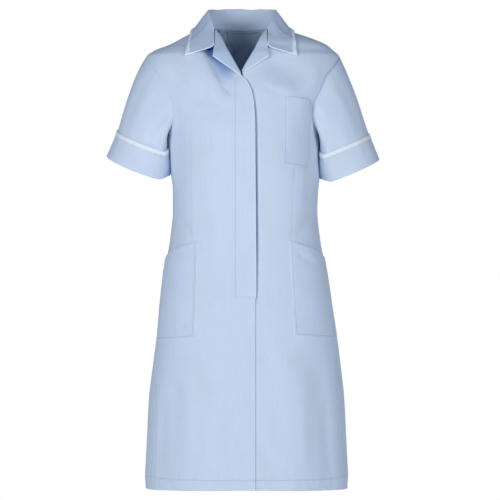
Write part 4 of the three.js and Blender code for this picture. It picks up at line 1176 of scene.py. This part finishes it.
def inner_painted_shade(places):
    """Painted shade: deeper colour where a sleeve lies against the body."""
    return INNER_PAINTED_SHADE * bell(places % 1 - INNER_SIDE[0], INNER_SIDE[1]) / MM


def sleeve_sheet(name):
    """A sleeve, gathered a little at its armhole and tucked behind the body's edge."""
    facts = SLEEVES[name]
    surface = sleeve_surface(**facts)
    places = sleeve_places(facts["side"], 150)
    down = spread(74, 0.004, 0.01)[::-1][:, None]
    points, lengths, (out, beyond) = surface(places, down)
    sheet = Sheet(points, closed=True)
    ease = smoothstep(down, 0, 0.06) * (1 - 0.92 * smoothstep(down, 0.64, 0.72))
    s = (places % 1) * SLEEVE_ROUND
    gathers = 0.5 * ripple(s, 41, 16) * bell(down, 0.09)
    above = (1 - down) * lengths - CUFF_DEPTH
    drawn = ripple(s, 43, 8) * bell(above - 5, 5) * inner_front(places)
    sheet.lift(ease * sleeve_creases(places, down) + gathers * smoothstep(down, 0, 0.03) + 1.1 * drawn)
    sheet.lift(sleeve_ease(name, places, down))
    seam = down * lengths
    sheet.lines[..., 0] = np.maximum(seam - 2.6, 0) * 0.5 if name == "left" else seam + 0.75
    # Painted shade on the sleeve's side next to the body.
    sheet.flat[..., 2] = inner_painted_shade(places)
    tucked = [points[-1] - beyond[-1] * reach - out[-1] * depth for reach, depth in SEAM_TUCK]
    sheet.points = np.concatenate([sheet.points, np.stack(tucked[::-1])])
    for key in ("normals", "lines", "flat"):
        rows = getattr(sheet, key)
        setattr(sheet, key, np.concatenate([rows, np.stack([rows[-1]] * len(tucked))]))
    return sheet


def cuff_sheet(name):
    """A turned-up cuff round the open end of a sleeve, drawn in below its tape."""
    facts = SLEEVES[name]
    surface = sleeve_surface(**facts)
    places = sleeve_places(facts["side"], 180)
    rows = np.concatenate([np.linspace(*stretch) for stretch in CUFF_ROWS])[:, None]
    up, lift = along(CUFF_PROFILE, "at", rows, "up"), along(CUFF_PROFILE, "at", rows, "lift")
    _, lengths, _ = surface(places, np.zeros(1))
    bare, _, _ = surface(places, 1 - np.maximum(up, -2) / lengths)
    plain, _, _ = surface(places, 1 - np.linspace(0, 60, len(rows))[:, None] / lengths)
    normals = grid_normals(plain, True).mean(0, keepdims=True)
    normals = unit(np.broadcast_to(normals, bare.shape))
    s = (places % 1) * SLEEVE_ROUND
    below = CUFF_DEPTH - CUFF_TAPE_WIDTH - up
    drawn = bell(below, 12) * (rows > 0.38) * (below > 0) * (0.35 + 1.2 * inner_front(places))
    soft = 0.45 * ripple(s, 51, 90) * smoothstep(up, 0, 20) * (rows > 0.34)
    ease = sleeve_ease(name, places, 1 - up / lengths)
    sheet = Sheet(bare + normals * (lift + drawn * ripple(s, 52, 13) + soft + ease)[..., None], closed=True)
    sheet.rows = rows[:, 0]
    # Painted shade on the cuff's side next to the body.
    sheet.flat[..., 2] = inner_painted_shade(places)
    return sheet


def cuff_tape_sheet(cuff):
    """A flat tape on the upper edge of a cuff."""
    rows = [np.argmin(np.abs(cuff.rows - at)) for at in CUFF_TAPE_AT]
    (first, last), (low, high) = cuff.points[rows], cuff.normals[rows]
    normals = unit(low + high)
    t = np.array([0, 0.06, 0.2, 0.5, 0.8, 0.94, 1])[:, None, None]
    points = lerp(first, last, t) + normals * (TAPE_LIFT["cuff"] - TAPE_EDGE_SINK * (2 * t - 1) ** 8)
    sheet = Sheet(points, normals=np.broadcast_to(normals, points.shape).copy(), closed=True)
    for row in (1, -2):
        sheet.sew_row(row)
    return sheet


# Collar and lapels


def spline(controls, t):
    """Centripetal curve through the first axis of controls at places t from 0 to 1."""
    last = len(controls) - 1
    ends = [2 * controls[0] - controls[1], 2 * controls[-1] - controls[-2]]
    line = np.concatenate([ends[:1], controls, ends[1:]])
    i = np.minimum((np.asarray(t) * last).astype(int), last - 1)
    w = (np.asarray(t) * last - i).reshape((-1,) + (1,) * (controls.ndim - 1))
    p0, p1, p2, p3 = knots = [line[i + k] for k in range(4)]
    d0, d1, d2 = (
        np.maximum(np.sum((a - b) ** 2, -1, keepdims=True) ** 0.25, 1e-6) for a, b in zip(knots, knots[1:])
    )
    m1 = ((p1 - p0) / d0 - (p2 - p0) / (d0 + d1) + (p2 - p1) / d1) * d1
    m2 = ((p2 - p1) / d1 - (p3 - p1) / (d1 + d2) + (p3 - p2) / d2) * d1
    return p1 + m1 * w + (-3 * p1 + 3 * p2 - 2 * m1 - m2) * w**2 + (2 * p1 - 2 * p2 + m1 + m2) * w**3


def neck_seam(at, side):
    """A point of the seam between the collar and the body, from the front at 0 to the middle back at 1."""
    if at < SEAM_FRONT_SHARE:
        z = lerp(ROLL_TOP_Z, 0, at / SEAM_FRONT_SHARE)
        start_x = along(FRONT_EDGES, "z", z, "rightEdge" if side < 0 else "leftEdge")
        return body_point(turn_at(start_x, z) if z < 0 else side * 90.0, z)
    turn = 90 * (1 - (at - SEAM_FRONT_SHARE) / (1 - SEAM_FRONT_SHARE))
    return body_point(side * (180 - turn), BACK_NECK_Z * math.cos(math.radians(turn)) ** 2)


def collar_points(rounds, across):
    """Points of the collar, round from its right to its left end and across from its seam to its edge."""
    controls = []
    stations = [(row, -1) for row in COLLAR_STATIONS] + [(row, 1) for row in COLLAR_STATIONS[-2::-1]]
    for (seam_at, narrow, places), side in stations:
        placed = [np.array([NECK_X + side * h + (narrow if side < 0 else 0), y, z]) for h, y, z in places]
        seam = neck_seam(seam_at, side) + np.array([0, 0, WALL / 2 + SEAM_GAP])
        middle = (seam + placed[0]) / 2
        inward = unit(np.array([NECK_X - middle[0], -middle[1], 0]))
        controls.append([seam, middle + inward * STAND_BOW * seam_at, *placed])
    lines = spline(np.array(controls), rounds)
    points = spline(lines.swapaxes(0, 1), across)
    low = ((across[:, None] > FALL_CLEAR_AT) & (points[..., 2] < 0))[..., None]
    for _ in range(3):
        distance, out = outside_body(points)
        short = np.maximum(FALL_CLEARANCE - distance, 0)[..., None]
        points = np.where(low, points + out * short, points)
    return points


def collar_sheet():
    """The collar, its stand and fall in one, with its outer edges folded under."""
    rounds = spread(180, 0.002, 0.005)
    across = np.concatenate([*(np.linspace(*stretch) for stretch in COLLAR_ROWS), [0.985, 0.993, 1]])
    points = collar_points(rounds, across)
    sheet = Sheet(points)
    s = rounds * COLLAR_ROUND
    fall = smoothstep(across, 0.3, 0.55)[:, None]
    crest = bell(across - COLLAR_CREST[0], COLLAR_CREST[1])[:, None]
    sheet.points[..., 2] += 0.9 * ripple(s, 62, 150) * crest
    sheet.lift(0.5 * ripple(s, 61, 120) * fall)
    reach = sheet.flat[:, :, 1] - sheet.flat[-1, :, 1]
    columns = range(len(rounds))
    inner = np.stack([on_line(reach[:, j], sheet.points[:, j], -COLLAR_TAPE_WIDTH) for j in columns])
    sheet.tape_lines = sheet.points[-1].copy(), inner, sheet.normals[-2].copy()
    # The third line places the painted highlight along the collar's front ends.
    s = sheet.flat[:, :, 0]
    sheet.lines[..., 2] = np.minimum(np.abs(s - s[:, :1]), np.abs(s - s[:, -1:]))
    # Painted shade: the collar is coloured deeper all over.
    sheet.flat[..., 2] = COLLAR_PAINTED_SHADE / MM
    sheet.fold_under("top", 9, 1.3)
    for side in ("left", "right"):
        sheet.fold_under(side, 8, 1.3)
    return sheet


def collar_tape_sheet(collar):
    """A flat tape along the collar's outer edge, wrapped a little round it."""
    edge, inner, normals = collar.tape_lines
    out = unit(edge - inner)
    t = np.array([0, 0.05, 0.2, 0.5, 0.8, 0.95])[:, None, None]
    over = lerp(inner, edge, t) + normals * (TAPE_LIFT["collar"] - TAPE_EDGE_SINK * (2 * t - 1) ** 8)
    wrap = [edge + out * past + normals * lift for past, lift in TAPE_WRAP]
    points = np.concatenate([over, np.stack(wrap)])
    sheet = Sheet(points[:, 2:-2])
    for row in (1, 4):
        sheet.sew_row(row)
    return sheet


def lapel_sheet(name):
    """A lapel, from its roll line to its outer edge and from the collar to its foot."""
    side = -1 if name == "right" else 1
    roll_foot, foot_x, foot_z = LAPEL_FOOT[name]
    v = spread(64, 0.004, 0.012)[:, None]
    at = np.concatenate([np.linspace(0, 0.34, 18), np.linspace(0.4, 0.96, 14), [0.985, 1]])
    roll_z = lerp(LAPEL_TOP_Z, roll_foot, v)
    roll_x = along(FRONT_EDGES, "z", roll_z, "rightEdge" if side < 0 else "leftEdge")
    down = np.clip((v - LAPEL_TIP_AT) / (1 - LAPEL_TIP_AT), 0, 1)
    top = np.clip(v / LAPEL_TIP_AT, 0, 1)
    tip_x = NECK_X + side * lerp(LAPEL_GORGE[0], LAPEL_TIP[0], top)
    outer_x = np.where(v < LAPEL_TIP_AT, tip_x, lerp(tip_x, foot_x, down))
    tip_z = lerp(LAPEL_GORGE[1], LAPEL_TIP[1], top)
    outer_z = np.where(v < LAPEL_TIP_AT, tip_z, lerp(LAPEL_TIP[1], foot_z, down))
    size = np.clip(np.hypot(outer_x - roll_x, outer_z - roll_z) / LAPEL_FULL, 0.3, 1)
    share, over = along(LAPEL_PROFILE, "at", at, "share"), along(LAPEL_PROFILE, "at", at, "over")
    x = lerp(roll_x, outer_x, share) + side * over * size
    z = lerp(roll_z, outer_z, share) + 0 * x
    lift = along(LAPEL_PROFILE, "at", at, "lift") * lerp(LAPEL_THIN, 1, size)
    points, _ = over_front(x, z, lift)
    points = points[::-1]
    sheet = Sheet(points[:, ::-1] if side < 0 else points)
    outer = 0 if side < 0 else -1
    # Painted highlight along the lapel's outer edge.
    sheet.lines[..., 2] = np.abs(sheet.flat[:, :, 0] - sheet.flat[:, outer, 0][:, None])
    # Painted shade: the lapel is coloured deeper all over.
    sheet.flat[..., 2] = LAPEL_PAINTED_SHADE[name] / MM
    sheet.fold_under("left" if side < 0 else "right", 5, 1.2)
    return sheet


# Placket and pockets


def placket_sheet():
    """The placket along the right front's edge, stitched down on its other side."""
    z = spread(160, 0.0015, 0.004, 0.009)[:, None] * (PLACKET_TOP_Z - PLACKET_BOTTOM_Z) + PLACKET_BOTTOM_Z
    u = spread(17, 0.02, 0.045, 0.09)
    edge_x = along(FRONT_EDGES, "z", z, "rightEdge") + 0.4
    x = lerp(PLACKET_STITCH_X, edge_x, u)
    opening = smoothstep(-z, 150, 200) * (1 - smoothstep(-z, 480, 560))
    stand = lerp(PLACKET_FLAT_STAND, PLACKET_STAND, opening) * smoothstep(u, 0.5, 1)
    ends = smoothstep(z - PLACKET_BOTTOM_Z, 0, 9) * smoothstep(PLACKET_TOP_Z - z, -3, 12)
    rise = 0.06 + PLACKET_RISE * smoothstep(x - PLACKET_STITCH_X, 0, 10) * ends
    creases = body_creases(-1, x, z) + 0.3 * ripple(z, 71, 60) * smoothstep(x - PLACKET_STITCH_X, 2, 12)
    seam = 0.25 * ripple(z, 72, 24) * bell(x - PLACKET_STITCH_X, 5)
    points, normals = over_front(x, z, rise + stand + creases + seam)
    sheet = Sheet(points, normals)
    # Painted highlight along the placket's folded edge.
    sheet.lines = stack(FAR, FAR, 0.6 * (edge_x - x) + 0 * z)
    # Painted shade of the lapel's hollow, carried onto the placket.
    sheet.flat[..., 2] = painted_shade_in_hollow(x, z + 0 * x)
    sheet.sew_column(1)
    sheet.sew_row(2)
    sheet.fold_under("right", 18, 1.5)
    return sheet


def pocket_sheet(name, hand, place, count):
    """A patch pocket: place gives the turn and height at shares across and up."""
    u, v = spread(count, 0.015, 0.035), spread(int(count * 1.6), 0.01, 0.022)[:, None]
    u = u[::-1] if hand < 0 else u
    turn, z = place(u, v)
    belly = POCKET_FILL * (4 * u * (1 - u)) ** 0.6 * smoothstep(v, 0, 0.4)
    gape = MOUTH_GAPE * np.sin(np.pi * u) * smoothstep(v, 0.6, 1)
    points, normals = body_point(turn, z), body_normal(turn, z)
    sheet = Sheet(points + normals * (PLY + belly + gape)[..., None], normals)
    width, height = (sheet.flat[:, -1, 0] - sheet.flat[:, 0, 0]).mean(), sheet.flat[-1, :, 1].mean()
    across, up = u * width, v * height
    for crease in POCKET_CREASES:
        if crease["piece"] == name:
            sizes = {"u": width, "v": height}
            ends = [crease[f"{way}{end}"] * sizes[way] for end in (0, 1) for way in sizes]
            sheet.lift(crease_depth(across, up, ends, crease, 0.8))
    edge = np.minimum(np.minimum(across, width - across), up)
    waves = 0.3 * ripple(up + across, 81, 17) * np.exp(-edge / 5)
    sheet.lift(waves - 0.5 * bell(edge - POCKET_STITCH, 1.3))
    sheet.lines = stack(edge - POCKET_STITCH, FAR, FAR)
    # Painted shade: the pockets are coloured darker.
    sheet.flat[..., 2] = POCKET_PAINTED_SHADE / MM
    inset, low = POCKET_STITCH / width, POCKET_STITCH / height
    seams = [(inset, 1, inset, low), (inset, low, 1 - inset, low), (1 - inset, low, 1 - inset, 1)]
    for line in seams + POCKET_SEAMS["chest" if name == "chest_pocket" else "hip"]:
        sheet.sew_line(v[:, 0], u, line)
    sheet.fold_under("top", 16, 1.2)
    for side in ("left", "right", "bottom"):
        sheet.fold_under(side, 4, 0.9)
    return sheet


def hip_pocket_sheet(name):
    """A hip pocket with a slanted mouth, next to the side seam."""
    facts = HIP_POCKETS[name]
    side = facts["side"]

    def place(u, v):
        inner_z, outer_z = lerp(*facts["inner_z"], v), lerp(*facts["outer_z"], v)
        inner = turn_at(side * lerp(*facts["inner_x"], v), inner_z)
        outer = side * (along(SIDE_SEAM, "z", outer_z, name) - POCKET_SEAM_MARGIN)
        return lerp(inner, outer, u), lerp(inner_z, outer_z, u)

    return pocket_sheet(f"hip_pocket_{name}", side, place, 40)


def chest_pocket_sheet():
    """The narrow pocket on the wearer's left chest."""
    facts = CHEST_POCKET

    def place(u, v):
        inner_z, outer_z = lerp(*facts["inner_z"], v), lerp(*facts["outer_z"], v)
        inner = turn_at(facts["inner_x"] + 0 * v, inner_z)
        outer = turn_at(lerp(*facts["outer_x"], v), outer_z)
        return lerp(inner, outer, u), lerp(inner_z, outer_z, u)

    return pocket_sheet("chest_pocket", 1, place, 34)


# Stitches


def stitch_row(line, normals):
    """Middles, directions and outward directions of the stitches along a line of points in millimetres."""
    sizes = bpy.context.scene.dress_sizes
    pitch = (sizes.stitch + sizes.stitch_gap) / MM
    s = np.concatenate([[0], np.cumsum(np.linalg.norm(np.diff(line, axis=0), axis=1))])
    count = max(int(s[-1] / pitch), 1)
    middle = (np.arange(count) + 0.5) * s[-1] / count
    half = sizes.stitch / MM / 2
    outs = unit(on_line(s, normals, middle))
    ways = unit(on_line(s, line, middle + half) - on_line(s, line, middle - half))
    return on_line(s, line, middle) + outs * THREAD_RISE, ways, outs


def thread_mesh(name, rows):
    """One mesh of many stitches, each a small rounded rod."""
    sizes = bpy.context.scene.dress_sizes
    centres, ways, outs = (np.concatenate([row[k] for row in rows]) for k in range(3))
    sides = np.cross(ways, outs)
    half, radius = sizes.stitch / MM / 2, sizes.thread / MM / 2
    corners = np.linspace(0, 2 * np.pi, THREAD_CORNERS, endpoint=False)
    points = []
    for reach, girth, rise in THREAD_RINGS:
        for corner in corners:
            up, across = (rise + girth * math.sin(corner)) * radius, girth * math.cos(corner) * radius
            points.append(centres + ways * reach * half + outs * up + sides * across)
    points = np.stack(points, 1)
    each, last = points.shape[1], points.shape[1] - THREAD_CORNERS
    ring = np.arange(THREAD_CORNERS)
    after = (ring + 1) % THREAD_CORNERS
    band = np.stack([ring, after, THREAD_CORNERS + after, THREAD_CORNERS + ring], 1)
    quads = np.concatenate([start + band for start in range(0, last, THREAD_CORNERS)])
    ends = np.stack([ring[::-1], last + ring])
    offsets = (np.arange(len(centres)) * each)[:, None, None]
    quads = (quads + offsets).reshape(-1, 4).tolist()
    caps = (ends + offsets).reshape(-1, THREAD_CORNERS).tolist()
    mesh = bpy.data.meshes.new(name)
    mesh.from_pydata((points.reshape(-1, 3) * MM).tolist(), [], quads + caps)
    mesh.shade_smooth()
    piece = bpy.data.objects.new(name, mesh)
    bpy.context.collection.objects.link(piece)
    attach(piece, BODY)
    return piece


# Materials


class Wire:
    """One output of a node, whose arithmetic adds Math nodes."""

    def __init__(self, shader, socket):
        self.shader, self.socket = shader, socket

    def _math(self, operation, *values):
        return self.shader.node("ShaderNodeMath", {"operation": operation}, values)

    def __add__(self, other):
        return self._math("ADD", self, other)

    def __sub__(self, other):
        return self._math("SUBTRACT", self, other)

    def __rsub__(self, other):
        return self._math("SUBTRACT", other, self)

    def __mul__(self, other):
        return self._math("MULTIPLY", self, other)

    def __truediv__(self, other):
        return self._math("DIVIDE", self, other)

    __radd__ = __add__
    __rmul__ = __mul__

    def sin(self):
        return self._math("SINE", self)

    def absolute(self):
        return self._math("ABSOLUTE", self)

    def clamped(self):
        return self._math("MAXIMUM", self._math("MINIMUM", self, 1.0), 0.0)


class Shader:
    """A material that is built node by node."""

    def __init__(self, name):
        self.material = bpy.data.materials.new(name)
        self.material.use_nodes = True
        self.tree = self.material.node_tree
        self.surface = self.tree.nodes["Principled BSDF"]

    def node(self, kind, settings=None, inputs=(), output=0):
        """Adds a node: settings first, then its inputs by place or by name."""
        node = self.tree.nodes.new(kind)
        for key, value in (settings or {}).items():
            setattr(node, key, value)
        pairs = inputs.items() if isinstance(inputs, dict) else enumerate(inputs)
        for key, value in pairs:
            self.feed(node.inputs[key], value)
        return Wire(self, node.outputs[output])

    def feed(self, socket, value):
        if isinstance(value, Wire):
            self.tree.links.new(value.socket, socket)
        else:
            socket.default_value = value

    def mix(self, factor, a, b):
        """A blend of two colours."""
        pairs = {0: factor, 6: a, 7: b}
        return self.node("ShaderNodeMix", {"data_type": "RGBA"}, pairs, output=2)

    def noise(self, vector, scale, detail=2.0, roughness=0.5):
        pairs = {"Vector": vector, "Scale": scale, "Detail": detail, "Roughness": roughness}
        return self.node("ShaderNodeTexNoise", {}, pairs)

    def stretched(self, vector, scale):
        return self.node("ShaderNodeVectorMath", {"operation": "MULTIPLY"}, (vector, scale))

    def bump(self, height, distance, strength=1.0, normal=None):
        pairs = {"Strength": strength, "Distance": distance, "Height": height}
        if normal is not None:
            pairs["Normal"] = normal
        return self.node("ShaderNodeBump", {}, pairs)

    def split(self, vector):
        """The three parts of a vector."""
        node = self.node("ShaderNodeSeparateXYZ", {}, (vector,)).socket.node
        return [Wire(self, socket) for socket in node.outputs]

    def attribute(self, name):
        return self.node("ShaderNodeAttribute", {"attribute_name": name}, output=1)


def groove(distance, reach):
    """1 on a line and 0 from reach away."""
    near = (1.0 - distance.absolute() / reach).clamped()
    return near * near


def cloth_material():
    """Light blue poly-cotton in a plain weave, with a slight sheen and drawn-in seams."""
    if "Poly-cotton" in bpy.data.materials:
        return bpy.data.materials["Poly-cotton"]
    sizes, colours = bpy.context.scene.dress_sizes, bpy.context.scene.dress_colours
    shader = Shader("Poly-cotton")
    cloth = shader.attribute("cloth")
    across, up, painted_shade = shader.split(cloth)
    dart, hem, edge = shader.split(shader.attribute("lines"))
    turns = 2 * math.pi / sizes.yarn
    weave = (across * turns).sin() * (up * turns).sin()
    flat = shader.node("ShaderNodeCombineXYZ", {}, (across, up, 0.0))
    warp = shader.noise(shader.stretched(flat, (1500.0, 60.0, 1.0)), 1.0, 2.0)
    weft = shader.noise(shader.stretched(flat, (60.0, 1500.0, 1.0)), 1.0, 2.0)
    soft = shader.noise(flat, 26.0, 4.0, 0.6)
    puckers = shader.noise(shader.stretched(flat, (150.0, 170.0, 1.0)), 1.0, 1.0)
    near = (groove(dart, 0.007) + groove(hem, 0.008)).clamped()
    line = (groove(dart, 0.0011) + groove(hem, 0.0009)).clamped()
    slub = shader.noise(shader.stretched(flat, (420.0, 9.0, 1.0)), 1.0, 3.0)
    patch = shader.noise(flat, 7.0, 2.0)
    # Yarn noise, random mottling and the painted shade of each piece blend towards the darker colour.
    blend = ((warp + weft) * 0.5 - 0.35 + (slub - 0.5) * 0.9 + (soft - 0.5) * 0.5 + painted_shade).clamped()
    base = shader.mix(blend, (*colours.cloth, 1), (*colours.yarn_and_painted_shade, 1))
    washed = shader.mix(((patch - 0.5) * 3.0).clamped(), base, (*colours.washed, 1))
    # Painted shade: where the painted shade is deep, the deep blue is mixed in.
    with_painted_hollow_shade = shader.mix(((painted_shade - 0.3) * 1.5).clamped(), washed, (*colours.painted_hollow_shade, 1))
    stitched = [lerp(a, b, 0.45) for a, b in zip(colours.yarn_and_painted_shade, colours.painted_hollow_shade)]
    deep = shader.mix(line * 0.5, with_painted_hollow_shade, (*stitched, 1))
    # Painted highlight: near-white colour along folded edges and beside the hip pockets.
    with_painted_edge_highlight = shader.mix(groove(edge, 0.002), deep, (*colours.edge, 1))
    shader.feed(shader.surface.inputs["Base Color"], with_painted_edge_highlight)
    shader.feed(shader.surface.inputs["Roughness"], 0.72 + (soft - 0.5) * 0.16)
    creased = shader.bump(soft, 0.0012, 0.5)
    drawn = shader.bump(puckers * near, 0.0009, 0.8, creased)
    sunk = shader.bump(1.0 - line, 0.0006, 0.8, drawn)
    woven = shader.bump(weave + (warp + weft) * 0.8, 0.00006, 0.6, sunk)
    shader.feed(shader.surface.inputs["Normal"], woven)
    shader.surface.inputs["Sheen Weight"].default_value = 0.12
    shader.surface.inputs["Sheen Roughness"].default_value = 0.4
    shader.surface.inputs["Specular IOR Level"].default_value = 0.25
    return shader.material


def tape_material():
    """White woven tape with a fine twill."""
    if "Tape" in bpy.data.materials:
        return bpy.data.materials["Tape"]
    sizes, colours = bpy.context.scene.dress_sizes, bpy.context.scene.dress_colours
    shader = Shader("Tape")
    cloth = shader.attribute("cloth")
    across, up, _ = shader.split(cloth)
    turns = 2 * math.pi / (sizes.yarn * 1.3)
    twill = ((across + up) * turns).sin()
    soft = shader.noise(cloth, 160.0, 3.0)
    base = shader.mix(soft, (*colours.tape, 1), (*[c * 0.9 for c in colours.tape], 1))
    shader.feed(shader.surface.inputs["Base Color"], base)
    shader.feed(shader.surface.inputs["Roughness"], 0.66 + (soft - 0.5) * 0.14)
    woven = shader.bump(twill, 0.00008, 0.7, shader.bump(soft, 0.0004, 0.4))
    shader.feed(shader.surface.inputs["Normal"], woven)
    shader.surface.inputs["Specular IOR Level"].default_value = 0.3
    return shader.material


def thread_material(name, colour):
    """Twisted sewing thread."""
    shader = Shader(name)
    place = shader.node("ShaderNodeTexCoord", {}, output=3)
    fine = shader.noise(place, 2600.0, 2.0)
    base = shader.mix(fine, (*colour, 1), (*[c * 0.8 for c in colour], 1))
    shader.feed(shader.surface.inputs["Base Color"], base)
    shader.feed(shader.surface.inputs["Roughness"], 0.5 + fine * 0.2)
    shader.feed(shader.surface.inputs["Normal"], shader.bump(fine, 0.0001, 0.5))
    return shader.material


def floor_material(colour):
    """Pale studio paper that is lit evenly."""
    shader = Shader("Studio paper")
    place = shader.node("ShaderNodeTexCoord", {}, output=3)
    fine = shader.noise(place, 40.0, 3.0)
    base = shader.mix(fine, (*colour, 1), (*[c * 0.97 for c in colour], 1))
    shader.feed(shader.surface.inputs["Base Color"], base)
    shader.surface.inputs["Roughness"].default_value = 0.9
    shader.surface.inputs["Emission Color"].default_value = WHITE
    shader.surface.inputs["Emission Strength"].default_value = FLOOR_GLOW
    return shader.material


# Operators


class DRESS_OT_fronts(bpy.types.Operator):
    """Cuts the right and the left front, with their darts and hems"""

    bl_idname = "dress.fronts"
    bl_label = "Fronts"

    def execute(self, context):
        sew("cloth_front_right", right_front(), "front_right")
        sew("cloth_front_left", left_front(), "front_left")
        return {"FINISHED"}


class DRESS_OT_back(bpy.types.Operator):
    """Cuts the back, with its two pleats from the neck and its hem"""

    bl_idname = "dress.back"
    bl_label = "Back"

    def execute(self, context):
        sew("cloth_back", back_panel(), "back")
        return {"FINISHED"}


class DRESS_OT_sleeves(bpy.types.Operator):
    """Sets in both sleeves, with their turned-up cuffs and tapes"""

    bl_idname = "dress.sleeves"
    bl_label = "Sleeves"

    def execute(self, context):
        for name in SLEEVES:
            sew(f"cloth_sleeve_{name}", sleeve_sheet(name), f"sleeve_{name}")
            cuff, under = cuff_sheet(name), [f"sleeve_{name}"]
            sew(f"cloth_cuff_{name}", cuff, f"cuff_{name}")
            tape, under = cuff_tape_sheet(cuff), [f"cuff_{name}"]
            sew(f"tape_cuff_{name}", tape, f"cuff_tape_{name}", True)
        return {"FINISHED"}


class DRESS_OT_collar(bpy.types.Operator):
    """Sets on the collar with its tape, and turns back both lapels"""

    bl_idname = "dress.collar"
    bl_label = "Collar and lapels"

    def execute(self, context):
        collar, under = collar_sheet(), ["front_right", "front_left", "back"]
        sew("cloth_collar", collar, "collar")
        tape = collar_tape_sheet(collar)
        sew("tape_collar", tape, "collar_tape", True)
        for name in LAPEL_FOOT:
            lapel, under = lapel_sheet(name), [f"front_{name}"]
            sew(f"cloth_lapel_{name}", lapel, f"lapel_{name}")
        return {"FINISHED"}


class DRESS_OT_placket(bpy.types.Operator):
    """Lays the concealed placket on the right front"""

    bl_idname = "dress.placket"
    bl_label = "Placket"

    def execute(self, context):
        sew("cloth_placket", placket_sheet(), "placket")
        return {"FINISHED"}


class DRESS_OT_pockets(bpy.types.Operator):
    """Puts on the chest pocket and both hip pockets"""

    bl_idname = "dress.pockets"
    bl_label = "Pockets"

    def execute(self, context):
        for name in HIP_POCKETS:
            pocket, node, under = hip_pocket_sheet(name), f"hip_pocket_{name}", [f"front_{name}"]
            sew(f"cloth_{node}", pocket, node)
        pocket, under = chest_pocket_sheet(), ["front_left"]
        sew("cloth_chest_pocket", pocket, "chest_pocket")
        return {"FINISHED"}


class DRESS_OT_stitches(bpy.types.Operator):
    """Sews the visible rows of stitches"""

    bl_idname = "dress.stitches"
    bl_label = "Stitches"

    def execute(self, context):
        if not made:
            raise RuntimeError("The pieces have to be made before their stitches")
        colours = context.scene.dress_colours
        threads_of = {"cloth": ("Blue thread", colours.thread), "tape": ("White thread", colours.tape)}
        for start, look in threads_of.items():
            seams = [seam for name, sheet in made.items() if name.startswith(start) for seam in sheet.seams]
            threads = thread_mesh(f"threads_{start}", [stitch_row(*seam) for seam in seams])
            threads.data.materials.append(thread_material(*look))
        return {"FINISHED"}


class DRESS_OT_stage(bpy.types.Operator):
    """Sets up the pale floor, the soft lights and the camera"""

    bl_idname = "dress.stage"
    bl_label = "Stage"

    def execute(self, context):
        colours = context.scene.dress_colours
        bpy.ops.mesh.primitive_circle_add(
            vertices=96, radius=FLOOR_RADIUS, fill_type="NGON", location=(0, 0, FLOOR_Z)
        )
        floor = context.object
        floor.name = "studio_floor"
        floor.data.materials.append(floor_material(colours.floor))
        for name, facts in LIGHTS.items():
            self.light(name, *facts)
        self.world(context)
        camera = bpy.data.cameras.new("Camera")
        camera.sensor_width = SENSOR
        camera.lens = SENSOR * FOCAL_PIXELS / FRAME_PIXELS
        camera.clip_end = 200
        holder = bpy.data.objects.new("Camera", camera)
        holder.location = (CAMERA_X, -CAMERA_DISTANCE, CAMERA_Z)
        holder.rotation_euler = (math.radians(90), 0, 0)
        context.collection.objects.link(holder)
        context.scene.camera = holder
        return {"FINISHED"}

    def light(self, name, place, size, power, spread):
        lamp = bpy.data.lights.new(name, "AREA")
        lamp.size = size
        lamp.energy = power
        lamp.spread = math.radians(spread)
        holder = bpy.data.objects.new(name, lamp)
        holder.location = place
        aim = Vector(LIGHTS_AIM) - Vector(place)
        holder.rotation_euler = aim.to_track_quat("-Z", "Y").to_euler()
        bpy.context.collection.objects.link(holder)

    def world(self, context):
        world = bpy.data.worlds.new("Studio")
        world.use_nodes = True
        tree = world.node_tree
        paper = tree.nodes["Background"]
        paper.inputs["Color"].default_value = SKY
        paper.inputs["Strength"].default_value = SKY_STRENGTH
        seen = tree.nodes.new("ShaderNodeBackground")
        seen.inputs["Color"].default_value = WHITE
        seen.inputs["Strength"].default_value = 1.0
        path = tree.nodes.new("ShaderNodeLightPath")
        both = tree.nodes.new("ShaderNodeMixShader")
        tree.links.new(path.outputs["Is Camera Ray"], both.inputs[0])
        tree.links.new(paper.outputs[0], both.inputs[1])
        tree.links.new(seen.outputs[0], both.inputs[2])
        tree.links.new(both.outputs[0], tree.nodes["World Output"].inputs["Surface"])
        context.scene.world = world
        context.scene.view_settings.view_transform = "Standard"


OPERATORS = [
    DRESS_OT_fronts,
    DRESS_OT_back,
    DRESS_OT_sleeves,
    DRESS_OT_collar,
    DRESS_OT_placket,
    DRESS_OT_pockets,
    DRESS_OT_stitches,
    DRESS_OT_stage,
]


class VIEW3D_PT_dress(bpy.types.Panel):
    """Lists the steps of the dress"""

    bl_idname = "VIEW3D_PT_dress"
    bl_label = "Dress"
    bl_space_type = "VIEW_3D"
    bl_region_type = "UI"
    bl_category = "Dress"

    def draw(self, context):
        for group in (context.scene.dress_sizes, context.scene.dress_colours):
            for name in group.bl_rna.properties.keys():
                if name not in ("rna_type", "name"):
                    self.layout.prop(group, name)
        for operator in OPERATORS:
            self.layout.operator(operator.bl_idname)


CLASSES = [DressSizes, DressColours, *OPERATORS, VIEW3D_PT_dress]


def register():
    for item in CLASSES:
        bpy.utils.register_class(item)
    bpy.types.Scene.dress_sizes = PointerProperty(type=DressSizes)
    bpy.types.Scene.dress_colours = PointerProperty(type=DressColours)


def unregister():
    del bpy.types.Scene.dress_colours
    del bpy.types.Scene.dress_sizes
    for item in reversed(CLASSES):
        bpy.utils.unregister_class(item)


def main():
    register()
    for step in ("fronts", "back", "sleeves", "collar", "placket", "pockets", "stitches", "stage"):
        getattr(bpy.ops.dress, step)()


if __name__ == "__main__":
    main()
